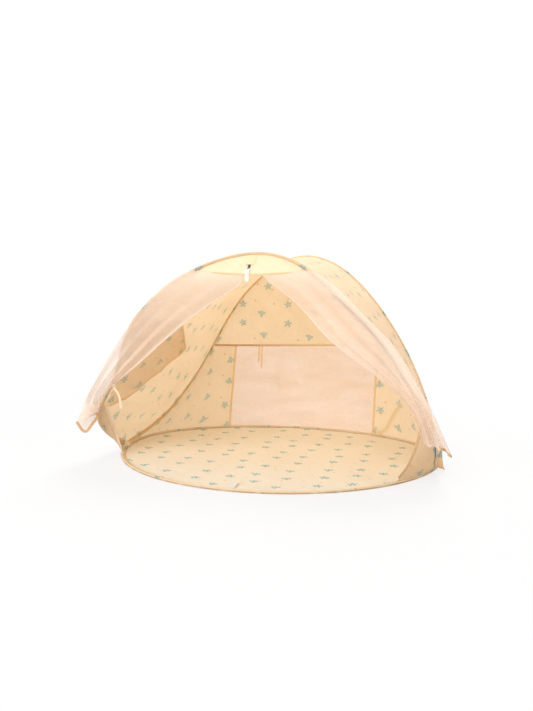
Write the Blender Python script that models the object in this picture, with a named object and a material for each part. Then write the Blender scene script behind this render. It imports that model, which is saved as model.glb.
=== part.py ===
"""A pop-up beach tent: a round floor, two spring-wire arches, a canopy, a back wall and door curtains.

The tent stands on its floor at z = 0. +X is to the right of someone who looks in at the door, and +Y is to
the back. The front arch, its curtains and the floor's front half fold up about the line through both feet.
"""
import math

import bmesh
import bpy
import numpy as np
from mathutils import Matrix, Vector

# The floor's outline: one half-width, and a deeper front than back (metres)
FLOOR_HALF_WIDTH = 0.750
FLOOR_FRONT_DEPTH = 0.693
FLOOR_BACK_DEPTH = 0.521

# The arches: points on the right half, from the foot up to the top, then mirrored to the left
FRONT_ARCH_HALF = [
    (0.728, -0.161, 0.022),
    (0.737, -0.404, 0.198),
    (0.645, -0.430, 0.385),
    (0.528, -0.532, 0.597),
    (0.361, -0.565, 0.770),
    (0.204, -0.467, 0.880),
    (0.000, -0.385, 0.930),
]
REAR_ARCH_HALF = [
    (0.731, -0.161, 0.022),
    (0.713, 0.139, 0.060),
    (0.675, 0.400, 0.156),
    (0.575, 0.571, 0.364),
    (0.437, 0.574, 0.604),
    (0.243, 0.571, 0.829),
    (0.000, 0.590, 0.931),
]
FOLD_AXIS_Y = -0.161
FOLD_AXIS_Z = 0.022

# Sleeves, wires and cloth
SLEEVE_OUTER = 0.0070
SLEEVE_INNER = 0.0056
SLEEVE_SLIT_DEG = 10.0
SLEEVE_FACETS = 6
WIRE_RADIUS = 0.0016
FERRULE_OUTER = 0.0030
FERRULE_INNER = 0.0021
FERRULE_LENGTH = 0.026
FLOOR_RING_Z = 0.0066
CLOTH = 0.0012
TAPE = 0.0018
TAPE_WIDTH = 0.012
TAPE_LIFT = 0.0012
TOUCH_GAP = 0.0005
EDGE_GAP = 0.0020
SLEEVE_GAP = 0.0015
SEAM_GAP = 0.0030

# How finely the long pieces are drawn
RING_STEPS = 48
ARCH_STEPS = 44
SLEEVE_TRIM = 0.016
WIRE_TRIM = 0.004

# The back wall: a level seam, and a sheer window under it between two upright tapes
BACK_SEAM_Z = 0.455
BACK_SEAM_RISE = 0.030
BACK_SEAM_Y = 0.560
BACK_SEAM_BOW = 0.018
BACK_SEAM_END_X = 0.535
CORNER_RISE = 0.012
WINDOW_LEFT_X = -0.395
WINDOW_RIGHT_X = 0.388

# The canopy between the arches draws in a little at the middle of its span
CANOPY_DRAW_IN = 0.035
CANOPY_ROWS = 5

# The second layer inside the canopy's left wall: its top and bottom edges from front to back, as shares
# of the way along the arches from the left foot, and of the way from the front arch to the rear one
LAYER_TOP = [(0.300, 0.03), (0.305, 0.13), (0.310, 0.24), (0.312, 0.34)]
LAYER_BOTTOM = [(0.121, 0.03), (0.145, 0.19), (0.205, 0.36), (0.266, 0.54)]
LAYER_LIFT = 0.004

# The plain panel under the top of the front arch
VALANCE_HALF_WIDTH = 0.240
VALANCE_EDGE_Y = -0.488
VALANCE_EDGE_Z = 0.862
VALANCE_SAG = 0.016

# The door curtains: matching points on the outer and inner edges, from the top row down to the hem
LEFT_CURTAIN = [
    ((-0.250, -0.516, 0.854), (-0.020, -0.489, 0.840)),
    ((-0.338, -0.580, 0.796), (-0.075, -0.484, 0.790)),
    ((-0.440, -0.583, 0.692), (-0.225, -0.477, 0.695)),
    ((-0.528, -0.562, 0.600), (-0.385, -0.470, 0.572)),
    ((-0.615, -0.535, 0.495), (-0.530, -0.460, 0.450)),
    ((-0.695, -0.515, 0.380), (-0.650, -0.450, 0.352)),
    ((-0.745, -0.508, 0.300), (-0.698, -0.452, 0.278)),
    ((-0.785, -0.502, 0.205), (-0.722, -0.450, 0.213)),
]
RIGHT_CURTAIN = [
    ((0.254, -0.516, 0.854), (0.030, -0.489, 0.840)),
    ((0.374, -0.594, 0.796), (0.120, -0.484, 0.790)),
    ((0.480, -0.592, 0.690), (0.225, -0.480, 0.700)),
    ((0.575, -0.557, 0.590), (0.330, -0.492, 0.592)),
    ((0.650, -0.515, 0.470), (0.489, -0.490, 0.473)),
    ((0.715, -0.487, 0.350), (0.620, -0.463, 0.352)),
    ((0.762, -0.470, 0.250), (0.675, -0.452, 0.255)),
    ((0.808, -0.455, 0.142), (0.712, -0.450, 0.188)),
]
CURTAIN_FOLDS = 3
CURTAIN_FOLD_TOP = 0.003
CURTAIN_FOLD_HEM = 0.020
CURTAIN_ROWS = 15
CURTAIN_COLUMNS = 19
LEFT_HEM_DROOP = (0.0, -0.040, -0.045)
RIGHT_HEM_DROOP = (0.0, -0.015, -0.004)

# The gussets between the front arch's feet and the floor's ring: how far up the arch they reach, how
# far round the ring from the foot, and how deep the free edge is cut in
LEFT_GUSSET = (0.375, 0.098, 0.012)
RIGHT_GUSSET = (0.380, 0.300, 0.055)

# The tape wrapped over the floor's ring beside the left gusset: from and to, round the ring from the
# foot, and the turn that it covers, in degrees from the inside over the top
RING_LOOP = (0.102, 0.120, 30.0, 220.0)

# Small pieces: the left curtain's tie and its knot, the tape at the window's lower corner, and the label
# (x from and to, y from and to). The tab that hangs outside the right foot is given as pairs of points,
# from its left edge to its free one, going down to its tip
LEFT_TIE = [
    (-0.628, -0.462, 0.352),
    (-0.618, -0.463, 0.338),
    (-0.606, -0.462, 0.316),
    (-0.598, -0.460, 0.262),
]
LEFT_KNOT = (-0.632, -0.464, 0.362)
LOWER_TIE = [
    (0.405, 0.425, 0.030),
    (0.432, 0.413, 0.032),
    (0.458, 0.409, 0.055),
    (0.490, 0.418, 0.116),
    (0.521, 0.428, 0.171),
]
LABEL = (-0.046, -0.020, -0.674, -0.590)
FOOT_TAB = [
    ((0.7365, -0.166, 0.112), (0.7580, -0.156, 0.110)),
    ((0.7375, -0.165, 0.088), (0.7605, -0.153, 0.086)),
    ((0.7400, -0.160, 0.050), (0.7650, -0.156, 0.046)),
    ((0.7407, -0.142, 0.0142), (0.7705, -0.159, 0.017)),
    ((0.7449, -0.128, 0.0066), (0.7760, -0.150, 0.003)),
]

# The zip slider on the plain panel, with a metal puller and a ribbon
ZIP_X = -0.015
ZIP_SHARE_DOWN = 0.62
PULLER_LENGTH = 0.026
RIBBON_WIDTH = 0.018
RIBBON_END_Z = 0.816
PIN_RADIUS = 0.0007
EYE_RADIUS = 0.0011

# Colours, read from the photograph
SHEER_PEACH = (0.94, 0.70, 0.50)
PRINT_CREAM = (0.93, 0.74, 0.46)
PLAIN_CREAM = (0.97, 0.85, 0.58)
BINDING_BROWN = (0.72, 0.42, 0.20)
TAPE_PEACH = (0.93, 0.70, 0.52)
STEEL = (0.45, 0.46, 0.48)
WHITE = (0.93, 0.93, 0.90)


def unit(vectors):
    """Vectors of length one."""
    return vectors / np.linalg.norm(vectors, axis=-1, keepdims=True)


def square_to(vectors, tangents):
    """The part of each vector that is square to its tangent, at length one."""
    along = np.sum(vectors * tangents, axis=-1, keepdims=True)
    return unit(vectors - along * tangents)


def natural_spline(knots, samples):
    """Points of the natural cubic through evenly spaced knots."""
    count = len(knots)
    system = 4.0 * np.eye(count) + np.eye(count, k=1) + np.eye(count, k=-1)
    system[0] = 0.0
    system[-1] = 0.0
    system[0, 0] = 1.0
    system[-1, -1] = 1.0
    pull = np.zeros_like(knots)
    pull[1:-1] = 6.0 * (knots[2:] - 2.0 * knots[1:-1] + knots[:-2])
    bend = np.linalg.solve(system, pull)
    span = np.clip(samples.astype(int), 0, count - 2)
    v = (samples - span)[:, None]
    u = 1.0 - v
    straight = knots[span] * u + knots[span + 1] * v
    return straight + ((u**3 - u) * bend[span] + (v**3 - v) * bend[span + 1]) / 6.0


def lengths_along(points):
    """The distance of each point from the first, along the line."""
    steps = np.linalg.norm(np.diff(points, axis=0), axis=1)
    return np.concatenate([[0.0], np.cumsum(steps)])


def along(points, distances):
    """Points on a line at the given distances from its start."""
    lengths = lengths_along(points)
    return np.stack([np.interp(distances, lengths, points[:, k]) for k in range(3)], axis=1)


def smooth_line(knots, steps, trim=0.0):
    """A smooth line through the knots, cut into equal steps, with both ends trimmed."""
    knots = np.array(knots, dtype=float)
    fine = natural_spline(knots, np.linspace(0.0, len(knots) - 1.0, 40 * len(knots)))
    total = lengths_along(fine)[-1]
    return along(fine, np.linspace(trim, total - trim, steps + 1))


def whole_arch(half):
    """The arch's points from the left foot over the top to the right foot."""
    half = np.array(half)
    return np.vstack([half * (-1.0, 1.0, 1.0), half[-2::-1]])


def tangents_of(points, closed=False):
    """The direction of a line at each of its points."""
    if closed:
        return unit(np.roll(points, -1, axis=0) - np.roll(points, 1, axis=0))
    return unit(np.gradient(points, axis=0))


def ring_curve(angles, z):
    """Points of the floor's outline, with the angle counted from +X towards the back."""
    depth = np.where(np.sin(angles) > 0.0, FLOOR_BACK_DEPTH, FLOOR_FRONT_DEPTH)
    x = FLOOR_HALF_WIDTH * np.cos(angles)
    return np.stack([x, depth * np.sin(angles), np.full_like(x, z)], axis=1)


RING_ANGLES = math.pi / 2 + (np.arange(RING_STEPS + 1) + 0.5) * 2.0 * math.pi / RING_STEPS
RING = ring_curve(RING_ANGLES[:-1], FLOOR_RING_Z)
FRONT_ARCH = smooth_line(whole_arch(FRONT_ARCH_HALF), ARCH_STEPS, SLEEVE_TRIM)
REAR_ARCH = smooth_line(whole_arch(REAR_ARCH_HALF), ARCH_STEPS, SLEEVE_TRIM)


def ring_at(angles):
    """Points on the ring's straight steps at the given angles."""
    closed = np.vstack([RING, RING[:1]])
    wrapped = (angles - RING_ANGLES[0]) % (2.0 * math.pi) + RING_ANGLES[0]
    return np.stack([np.interp(wrapped, RING_ANGLES, closed[:, k]) for k in range(3)], axis=1)


def ring_tangent_at(angles):
    """The ring's direction at the given angles."""
    step = 0.01
    return unit(ring_at(angles + step) - ring_at(angles - step))


def ring_angle_of_x(x):
    """The angle, on the back half of the ring, of a point at this x."""
    return math.acos(x / FLOOR_HALF_WIDTH)


def material(name, colour, roughness, metallic=0.0):
    """A plain Principled material."""
    made = bpy.data.materials.new(name)
    made.use_nodes = True
    shader = made.node_tree.nodes["Principled BSDF"]
    shader.inputs["Base Color"].default_value = (*colour, 1.0)
    shader.inputs["Roughness"].default_value = roughness
    shader.inputs["Metallic"].default_value = metallic
    made.diffuse_color = (*colour, 1.0)
    return made


def new_object(name, vertices, faces, colour, roughness=0.8, metallic=0.0):
    """A named mesh object with its own material."""
    mesh = bpy.data.meshes.new(name)
    mesh.from_pydata([tuple(v) for v in vertices], [], faces)
    mesh.update()
    made = bpy.data.objects.new(name, mesh)
    bpy.context.scene.collection.objects.link(made)
    mesh.materials.append(material(name, colour, roughness, metallic))
    return made


def turn_faces_out(made):
    """Makes the faces of a closed mesh point out of it."""
    work = bmesh.new()
    work.from_mesh(made.data)
    bmesh.ops.recalc_face_normals(work, faces=work.faces)
    work.to_mesh(made.data)
    work.free()


def cloth(name, grid, colour, thickness=CLOTH):
    """A sheet of cloth through a grid of points (rows, columns, 3), given its thickness by Solidify."""
    rows, columns = grid.shape[:2]
    faces = []
    for r in range(rows - 1):
        for c in range(columns - 1):
            corner = r * columns + c
            faces.append((corner, corner + 1, corner + columns + 1, corner + columns))
    made = new_object(name, grid.reshape(-1, 3), faces, colour)
    made.data.shade_smooth()
    shell = made.modifiers.new("thickness", "SOLIDIFY")
    shell.thickness = thickness
    shell.offset = 0.0
    return made


def sweep(name, points, sides, section, colour, closed=False, roughness=0.8, metallic=0.0):
    """A section, in steps along each side vector and square to it, carried along a line."""
    tangents = tangents_of(points, closed)
    sides = square_to(sides, tangents)
    others = np.cross(tangents, sides)
    section = np.array(section)
    rings = (
        points[:, None, :]
        + section[None, :, 0, None] * sides[:, None, :]
        + section[None, :, 1, None] * others[:, None, :]
    )
    count, corners = rings.shape[:2]
    faces = []
    for k in range(count if closed else count - 1):
        for c in range(corners):
            here = k * corners
            there = (k + 1) % count * corners
            beside = (c + 1) % corners
            faces.append((here + c, here + beside, there + beside, there + c))
    if not closed:
        faces.append(tuple(reversed(range(corners))))
        faces.append(tuple(range((count - 1) * corners, count * corners)))
    made = new_object(name, rings.reshape(-1, 3), faces, colour, roughness, metallic)
    turn_faces_out(made)
    return made


def round_section(radius, corners):
    """A round section."""
    turns = np.arange(corners) * 2.0 * math.pi / corners
    return np.stack([radius * np.cos(turns), radius * np.sin(turns)], axis=1)


def sleeve_section():
    """A sleeve's section: a ring, open along the slit where the cloth is sewn in."""
    slit = math.radians(SLEEVE_SLIT_DEG)
    turns = np.linspace(slit, 2.0 * math.pi - slit, SLEEVE_FACETS + 1)
    rim = np.stack([np.cos(turns), np.sin(turns)], axis=1)
    return np.vstack([SLEEVE_OUTER * rim, SLEEVE_INNER * rim[::-1]])


def box(name, size, centre, rotation, colour, roughness=0.5, metallic=0.0, bevel=0.0):
    """A box, turned about X by an angle, with its edges bevelled if asked."""
    made = new_object(name, [], [], colour, roughness, metallic)
    work = bmesh.new()
    bmesh.ops.create_cube(work, size=1.0)
    bmesh.ops.scale(work, vec=size, verts=work.verts)
    if bevel:
        bmesh.ops.bevel(work, geom=work.edges[:], offset=bevel, segments=1, affect="EDGES")
    bmesh.ops.rotate(work, matrix=Matrix.Rotation(rotation, 3, "X"), verts=work.verts)
    bmesh.ops.translate(work, vec=centre, verts=work.verts)
    work.to_mesh(made.data)
    work.free()
    return made


def strip(name, edge, beyond, width, colour, thickness=TAPE, gap=EDGE_GAP):
    """A tape that goes on past a cloth's edge, from a gap off it to a width beyond it."""
    rows = np.stack([edge + gap * beyond, edge + (gap + width) * beyond])
    return cloth(name, rows, colour, thickness)


def tape_on(name, first_edge, second_edge, colour, gap=TAPE_LIFT):
    """A tape laid over a cloth on the side that faces -Y, between two lines of the cloth's points."""
    across = second_edge - first_edge
    out = unit(np.cross(across, tangents_of(first_edge)))
    out = np.where(out[:, 1:2] > 0.0, -out, out)
    lift = ((CLOTH + TAPE) / 2 + gap) * out
    return cloth(name, np.stack([first_edge + lift, second_edge + lift]), colour, TAPE)


def ruled(top, bottom, rows):
    """A grid of straight lines from one edge to another."""
    share = np.linspace(0.0, 1.0, rows)[:, None, None]
    return top[None] * (1.0 - share) + bottom[None] * share


def inset(points, targets, tangents, distance):
    """Points moved towards their targets, square to the line that they lie on."""
    return points + distance * square_to(targets - points, tangents)


# The floor and its ring

def build_floor():
    """The floor sheet, the ring's sleeve, its wire and the ferrule that joins the wire's ends."""
    inward = square_to(-RING * (1.0, 1.0, 0.0), tangents_of(RING, closed=True))
    sleeve = sweep("floor_ring_sleeve", RING, inward, sleeve_section(), PRINT_CREAM, closed=True)
    # the wire's ends meet in the ferrule, in the middle of the straight step at the back
    angles = np.concatenate([[math.pi / 2], RING_ANGLES[:-1], [math.pi * 5 / 2]])
    line = ring_at(angles)
    line[-1] = line[0]
    line[0, 0] -= TOUCH_GAP
    line[-1, 0] += TOUCH_GAP
    wire = sweep(
        "floor_ring_wire", line, -line * (1.0, 1.0, 0.0), round_section(WIRE_RADIUS, 6), STEEL,
        roughness=0.35, metallic=1.0,
    )
    ferrule = ferrule_tube("floor_ring_ferrule", (line[0] + line[-1]) / 2, (1.0, 0.0, 0.0))
    edge = RING + (SLEEVE_OUTER + TOUCH_GAP) * inward
    edge[:, 2] = 0.0
    raised = edge + (0.0, 0.0, CLOTH)
    count = len(edge)
    faces = [tuple(reversed(range(count))), tuple(range(count, 2 * count))]
    for k in range(count):
        beside = (k + 1) % count
        faces.append((k, beside, count + beside, count + k))
    sheet = new_object("floor_sheet", np.vstack([edge, raised]), faces, PRINT_CREAM)
    turn_faces_out(sheet)
    return [sheet, sleeve, wire, ferrule]


def ferrule_tube(name, centre, direction):
    """A short crimped tube round the two ends of a wire, along the wire's direction."""
    made = new_object(name, [], [], STEEL, 0.3, 1.0)
    work = bmesh.new()
    rims = []
    for radius in (FERRULE_OUTER, FERRULE_INNER):
        for side in (-1.0, 1.0):
            rim = bmesh.ops.create_circle(work, segments=8, radius=radius)["verts"]
            bmesh.ops.rotate(work, matrix=Matrix.Rotation(math.pi / 2, 3, "Y"), verts=rim)
            bmesh.ops.translate(work, vec=(side * FERRULE_LENGTH / 2, 0.0, 0.0), verts=rim)
            rims.append(rim)
    outer_left, outer_right, inner_left, inner_right = rims
    for first, second in (
        (outer_left, outer_right),
        (outer_right, inner_right),
        (inner_right, inner_left),
        (inner_left, outer_left),
    ):
        for k in range(8):
            beside = (k + 1) % 8
            work.faces.new((first[k], first[beside], second[beside], second[k]))
    bmesh.ops.recalc_face_normals(work, faces=work.faces)
    turn = Vector((1.0, 0.0, 0.0)).rotation_difference(Vector(direction)).to_matrix()
    bmesh.ops.rotate(work, matrix=turn, verts=work.verts)
    bmesh.ops.translate(work, vec=Vector(centre), verts=work.verts)
    work.to_mesh(made.data)
    work.free()
    return made


# The two arches

def arch_sleeve(name, line, toward):
    """An arch's sleeve, with its slit turned towards the cloth that is sewn into it."""
    return sweep(name, line, toward - line, sleeve_section(), PRINT_CREAM)


def arch_wire(name, line, toward):
    """A length of the arch ring's spring wire."""
    section = round_section(WIRE_RADIUS, 6)
    return sweep(name, line, toward - line, section, STEEL, roughness=0.35, metallic=1.0)


def wire_line(half):
    """The line of an arch's wire, which runs out of both ends of its sleeve."""
    line = smooth_line(whole_arch(half), ARCH_STEPS, SLEEVE_TRIM)
    ends = smooth_line(whole_arch(half), ARCH_STEPS, WIRE_TRIM)
    line[0] = ends[0]
    line[-1] = ends[-1]
    return line


def build_arches():
    """Both arches: one spring-wire ring bent over at the feet, whose ends meet in a ferrule at the back."""
    rear_sleeve = arch_sleeve("rear_arch_sleeve", REAR_ARCH, FRONT_ARCH)
    rear = wire_line(REAR_ARCH_HALF)
    split = ARCH_STEPS // 2
    middle = (rear[split] + rear[split + 1]) / 2
    along_wire = unit(rear[split + 1] - rear[split])
    left = np.vstack([rear[: split + 1], middle - TOUCH_GAP * along_wire])
    right = np.vstack([middle + TOUCH_GAP * along_wire, rear[split + 1 :]])
    left_wire = arch_wire("rear_arch_wire_left", left, np.array([0.0, 0.0, 0.1]))
    right_wire = arch_wire("rear_arch_wire_right", right, np.array([0.0, 0.0, 0.1]))
    ferrule = ferrule_tube("arch_ring_ferrule", middle, along_wire)
    front_sleeve = arch_sleeve("front_arch_sleeve", FRONT_ARCH, REAR_ARCH)
    front_wire = arch_wire("front_arch_wire", wire_line(FRONT_ARCH_HALF), REAR_ARCH)
    return [rear_sleeve, left_wire, right_wire, ferrule], [front_sleeve, front_wire]


# The canopy between the arches

def canopy_point(share_along, share_back):
    """A point of the canopy, by its share of the way from the left foot and from front to rear."""
    steps = np.atleast_1d(share_along) * ARCH_STEPS
    index = np.arange(ARCH_STEPS + 1)
    ends = []
    for line, other in ((FRONT_ARCH, REAR_ARCH), (REAR_ARCH, FRONT_ARCH)):
        edge = inset(line, other, tangents_of(line), SLEEVE_OUTER + SLEEVE_GAP)
        ends.append(np.stack([np.interp(steps, index, edge[:, k]) for k in range(3)], axis=1))
    front, rear = ends
    back = np.atleast_1d(share_back)[:, None]
    span = np.linalg.norm(rear - front, axis=1, keepdims=True)
    middle = (front + rear) / 2
    heart = np.stack([0.35 * middle[:, 0], np.full(len(middle), 0.10), 0.35 * middle[:, 2]], axis=1)
    draw = CANOPY_DRAW_IN * span * 4.0 * back * (1.0 - back)
    return front * (1.0 - back) + rear * back + draw * unit(heart - middle)


def canopy_grid(alongs, backs, lift=0.0):
    """Canopy points for matching arrays of places on it, moved into the tent by a lift."""
    grid = canopy_point(alongs.ravel(), backs.ravel()).reshape(*alongs.shape, 3)
    if lift:
        out = unit(np.cross(np.gradient(grid, axis=0), np.gradient(grid, axis=1)))
        heart = np.array([0.0, 0.1, 0.3])
        inside = np.sum(out * (heart - grid), axis=-1, keepdims=True) > 0.0
        grid = grid + lift * np.where(inside, out, -out)
    return grid


def build_canopy():
    """The printed canopy, and the second layer of cloth inside its left wall with its two tapes."""
    backs, alongs = np.meshgrid(
        np.linspace(0.0, 1.0, CANOPY_ROWS), np.arange(1, ARCH_STEPS) / ARCH_STEPS, indexing="ij"
    )
    made = [cloth("canopy", canopy_grid(alongs, backs), PRINT_CREAM)]
    down = np.linspace(0.0, 1.0, 5)[:, None]
    steps = np.linspace(0.0, 1.0, 9)
    knots = np.linspace(0.0, 1.0, len(LAYER_TOP))
    places = []
    for k in range(2):
        top = np.interp(steps, knots, [place[k] for place in LAYER_TOP])
        bottom = np.interp(steps, knots, [place[k] for place in LAYER_BOTTOM])
        places.append(top * (1.0 - down) + bottom * down)
    layer = canopy_grid(places[0], places[1], LAYER_LIFT)
    made.append(cloth("inner_layer", layer, PRINT_CREAM))
    beside = unit(layer[:, -1] - layer[:, -2])
    made.append(strip("inner_layer_side_tape", layer[:, -1], beside, 0.008, BINDING_BROWN))
    under = square_to(layer[-1] - layer[-2], tangents_of(layer[-1]))
    made.append(strip("inner_layer_foot_tape", layer[-1, 2:], under[2:], 0.008, BINDING_BROWN))
    return made


# The back wall under the rear arch

def seam_at(x):
    """Points of the back wall's level seam."""
    x = np.atleast_1d(x).astype(float)
    y = BACK_SEAM_Y + BACK_SEAM_BOW * (x / BACK_SEAM_END_X) ** 2
    return np.stack([x, y, BACK_SEAM_Z + BACK_SEAM_RISE * x], axis=1)


def arch_above_seam(rise):
    """The rear arch from one end of the seam over the top to the other, down to a rise over the seam."""
    over = REAR_ARCH[:, 2] - seam_at(REAR_ARCH[:, 0])[:, 2] - rise
    held = np.flatnonzero(over > 0.0)
    ends = []
    for inner, outer in ((held[0], held[0] - 1), (held[-1], held[-1] + 1)):
        share = over[inner] / (over[inner] - over[outer])
        ends.append(REAR_ARCH[inner] * (1.0 - share) + REAR_ARCH[outer] * share)
    return np.vstack([ends[0], REAR_ARCH[held], ends[1]])


def build_back_wall():
    """The printed upper panel and side panels, the sheer window, and the tapes over their seams."""
    made = []
    top = arch_above_seam(CORNER_RISE)
    foot = seam_at(top[:, 0]) + (0.0, 0.0, TOUCH_GAP)
    heart = np.array([0.0, BACK_SEAM_Y, BACK_SEAM_Z])
    head = inset(top, heart, tangents_of(top), SLEEVE_OUTER + SLEEVE_GAP)
    foot[0] = seam_at(head[0, 0])[0] + (0.0, 0.0, TOUCH_GAP)
    foot[-1] = seam_at(head[-1, 0])[0] + (0.0, 0.0, TOUCH_GAP)
    made.append(cloth("back_upper_panel", ruled(head, foot, 5), PRINT_CREAM))

    window_x = np.linspace(WINDOW_LEFT_X + TOUCH_GAP, WINDOW_RIGHT_X - TOUCH_GAP, 15)
    window = lower_wall_columns(window_x)
    made.append(cloth("back_window", window, SHEER_PEACH))

    for side, name, edge_x in ((-1.0, "left", WINDOW_LEFT_X), (1.0, "right", WINDOW_RIGHT_X)):
        made.append(cloth("back_" + name + "_panel", side_panel(side, edge_x), PRINT_CREAM))

    seam = seam_at(np.linspace(-0.490, 0.500, 17))
    half = TAPE_WIDTH / 2
    below = lower_wall_columns(seam[:, 0])
    hang = half * unit(below[1] - below[0])
    made.append(tape_on("window_top_tape", seam + (0.0, 0.0, half), seam + hang, BINDING_BROWN))
    for name, x in (("left", WINDOW_LEFT_X), ("right", WINDOW_RIGHT_X)):
        edges = lower_wall_columns(np.array([x - half, x + half]))
        total = lengths_along(edges[:, 0])[-1]
        run = np.linspace(half + TAPE_LIFT, total - TAPE_LIFT, 6)
        made.append(
            tape_on(
                "window_" + name + "_tape", along(edges[:, 0], run), along(edges[:, 1], run),
                BINDING_BROWN,
            )
        )
    return made


def lower_wall_columns(x):
    """Upright lines of the back wall from its seam down to the floor's ring, as (rows, columns, 3)."""
    angles = np.array([ring_angle_of_x(v) for v in x])
    ring = ring_at(angles)
    head = seam_at(x) - (0.0, 0.0, TOUCH_GAP)
    foot = inset(ring, head, ring_tangent_at(angles), SLEEVE_OUTER + SEAM_GAP)
    return ruled(head, foot, 6)


def side_panel(side, edge_x):
    """A lower side panel: from the window's edge round to the foot of the rear arch."""
    order = slice(None) if side > 0 else slice(None, None, -1)
    arch = REAR_ARCH[order]
    tangents = tangents_of(arch)
    seam_heights = seam_at(arch[:, 0])[:, 2]
    below = np.flatnonzero((side * arch[:, 0] > 0.3) & (arch[:, 2] < seam_heights - 0.012))[:-1]
    end_x = abs(arch_above_seam(0.0)[0 if side < 0 else -1, 0]) - SLEEVE_OUTER - SEAM_GAP
    seam_x = np.array([edge_x + side * TOUCH_GAP, (edge_x + side * end_x) / 2, side * end_x])
    top = np.vstack([seam_at(seam_x), arch[below]])
    share = lengths_along(top) / lengths_along(np.vstack([top, arch[-1:]]))[-1]
    start = ring_angle_of_x(edge_x + side * TOUCH_GAP)
    foot_angle = math.asin(FOLD_AXIS_Y / FLOOR_FRONT_DEPTH)
    end = foot_angle if side > 0 else math.pi - foot_angle
    angles = start + share * (end - start)
    ring = ring_at(angles)
    foot = inset(ring, top, ring_tangent_at(angles), SLEEVE_OUTER + SEAM_GAP)
    head = top.copy()
    head[:3, 2] -= TOUCH_GAP
    head[3:] = inset(arch[below], ring[3:], tangents[below], SLEEVE_OUTER + SLEEVE_GAP)
    return ruled(head, foot, 4)


# The door under the front arch

def valance_edges():
    """The plain panel's top and bottom edges, as far out as it has any height."""
    edge_x = FRONT_ARCH[:, 0]
    sag = VALANCE_SAG * (1.0 - (edge_x / VALANCE_HALF_WIDTH) ** 2)
    foot = np.stack([edge_x, np.full_like(edge_x, VALANCE_EDGE_Y), VALANCE_EDGE_Z - sag], axis=1)
    held = np.flatnonzero(FRONT_ARCH[:, 2] > foot[:, 2] + 0.014)
    head = inset(FRONT_ARCH, foot, tangents_of(FRONT_ARCH), SLEEVE_OUTER + SLEEVE_GAP)
    return head[held], foot[held]


def valance_frame(x, share_down):
    """A point of the plain panel, with its downhill direction and its outward normal there."""
    head, foot = valance_edges()
    top = np.array([np.interp(x, head[:, 0], head[:, k]) for k in range(3)])
    bottom = np.array([np.interp(x, foot[:, 0], foot[:, k]) for k in range(3)])
    down = unit(bottom - top)
    return top + share_down * (bottom - top), down, np.cross((1.0, 0.0, 0.0), -down)


def build_valance():
    """The plain panel under the top of the front arch, and the small patch sewn on it."""
    head, foot = valance_edges()
    panel = cloth("front_valance", ruled(head, foot, 4), PLAIN_CREAM)
    lift = (CLOTH + TAPE) / 2 + TAPE_LIFT
    rows = []
    for share in (0.06, 0.30, 0.52):
        centre, _, out = valance_frame(ZIP_X, share)
        centre = centre + lift * out
        rows.append([centre - (0.018, 0.0, 0.0), centre + (0.018, 0.0, 0.0)])
    patch = cloth("valance_patch", np.array(rows), PLAIN_CREAM, TAPE)
    return [panel, patch]


def joined(made, others, operation):
    """Adds Boolean modifiers to an object, and hides the shapes that they use."""
    for other in others:
        step = made.modifiers.new(operation.lower(), "BOOLEAN")
        step.operation = operation
        step.solver = "EXACT"
        step.object = other
        other.hide_render = True
        other.display_type = "WIRE"
    return made


def rod(name, radius, length, centre, corners):
    """A round rod along X."""
    made = new_object(name, [], [], STEEL, 0.3, 1.0)
    work = bmesh.new()
    bmesh.ops.create_cone(
        work, cap_ends=True, segments=corners, radius1=radius, radius2=radius, depth=length
    )
    bmesh.ops.rotate(work, matrix=Matrix.Rotation(math.pi / 2, 3, "Y"), verts=work.verts)
    bmesh.ops.translate(work, vec=centre, verts=work.verts)
    work.to_mesh(made.data)
    work.free()
    return made


def zip_pin():
    """The centre of the slider's pin."""
    centre, down, out = valance_frame(ZIP_X, ZIP_SHARE_DOWN)
    return centre + 0.0083 * out, down, out


def build_zip():
    """The slider with its two lugs and pin, the metal puller that swings on the pin, and its ribbon."""
    pin, down, out = zip_pin()
    slope = math.atan2(-down[2], -down[1])
    lean = math.atan2(out[2], out[1]) - math.pi / 2
    slider = box("zip_slider", (0.010, 0.016, 0.0040), pin - 0.0050 * out, lean, STEEL, 0.3, 1.0, 0.0008)
    parts = []
    for side in (-1.0, 1.0):
        centre = pin + (side * 0.0033, 0.0, 0.0) - 0.0012 * out
        parts.append(box("zip_lug_shape", (0.0014, 0.0050, 0.0056), centre, lean, STEEL))
    parts.append(rod("zip_pin_shape", PIN_RADIUS, 0.0070, pin, 8))
    joined(slider, parts, "UNION")

    plate = pin + (PULLER_LENGTH / 2) * down
    puller = box(
        "zip_puller", (0.0040, PULLER_LENGTH, 0.0014), plate, lean, STEEL, 0.3, 1.0, 0.0003
    )
    joined(puller, [rod("zip_eye_shape", 2.0 * EYE_RADIUS, 0.0040, pin, 12)], "UNION")
    joined(puller, [rod("zip_hole_shape", EYE_RADIUS, 0.0080, pin, 12)], "DIFFERENCE")

    start = pin + (PULLER_LENGTH + 0.0006) * down
    path = np.array([
        start,
        start + 0.010 * down,
        start + 0.015 * down + (0.0, -0.001, -0.007),
        start + 0.016 * down + (0.0, -0.001, -0.022),
        [start[0], start[1] - 0.015, RIBBON_END_Z],
    ])
    path = smooth_line(path, 10)
    half = np.array([RIBBON_WIDTH / 2, 0.0, 0.0])
    ribbon = cloth("zip_ribbon", np.stack([path - half, path + half]), WHITE)
    return [slider], [puller, ribbon]


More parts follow.
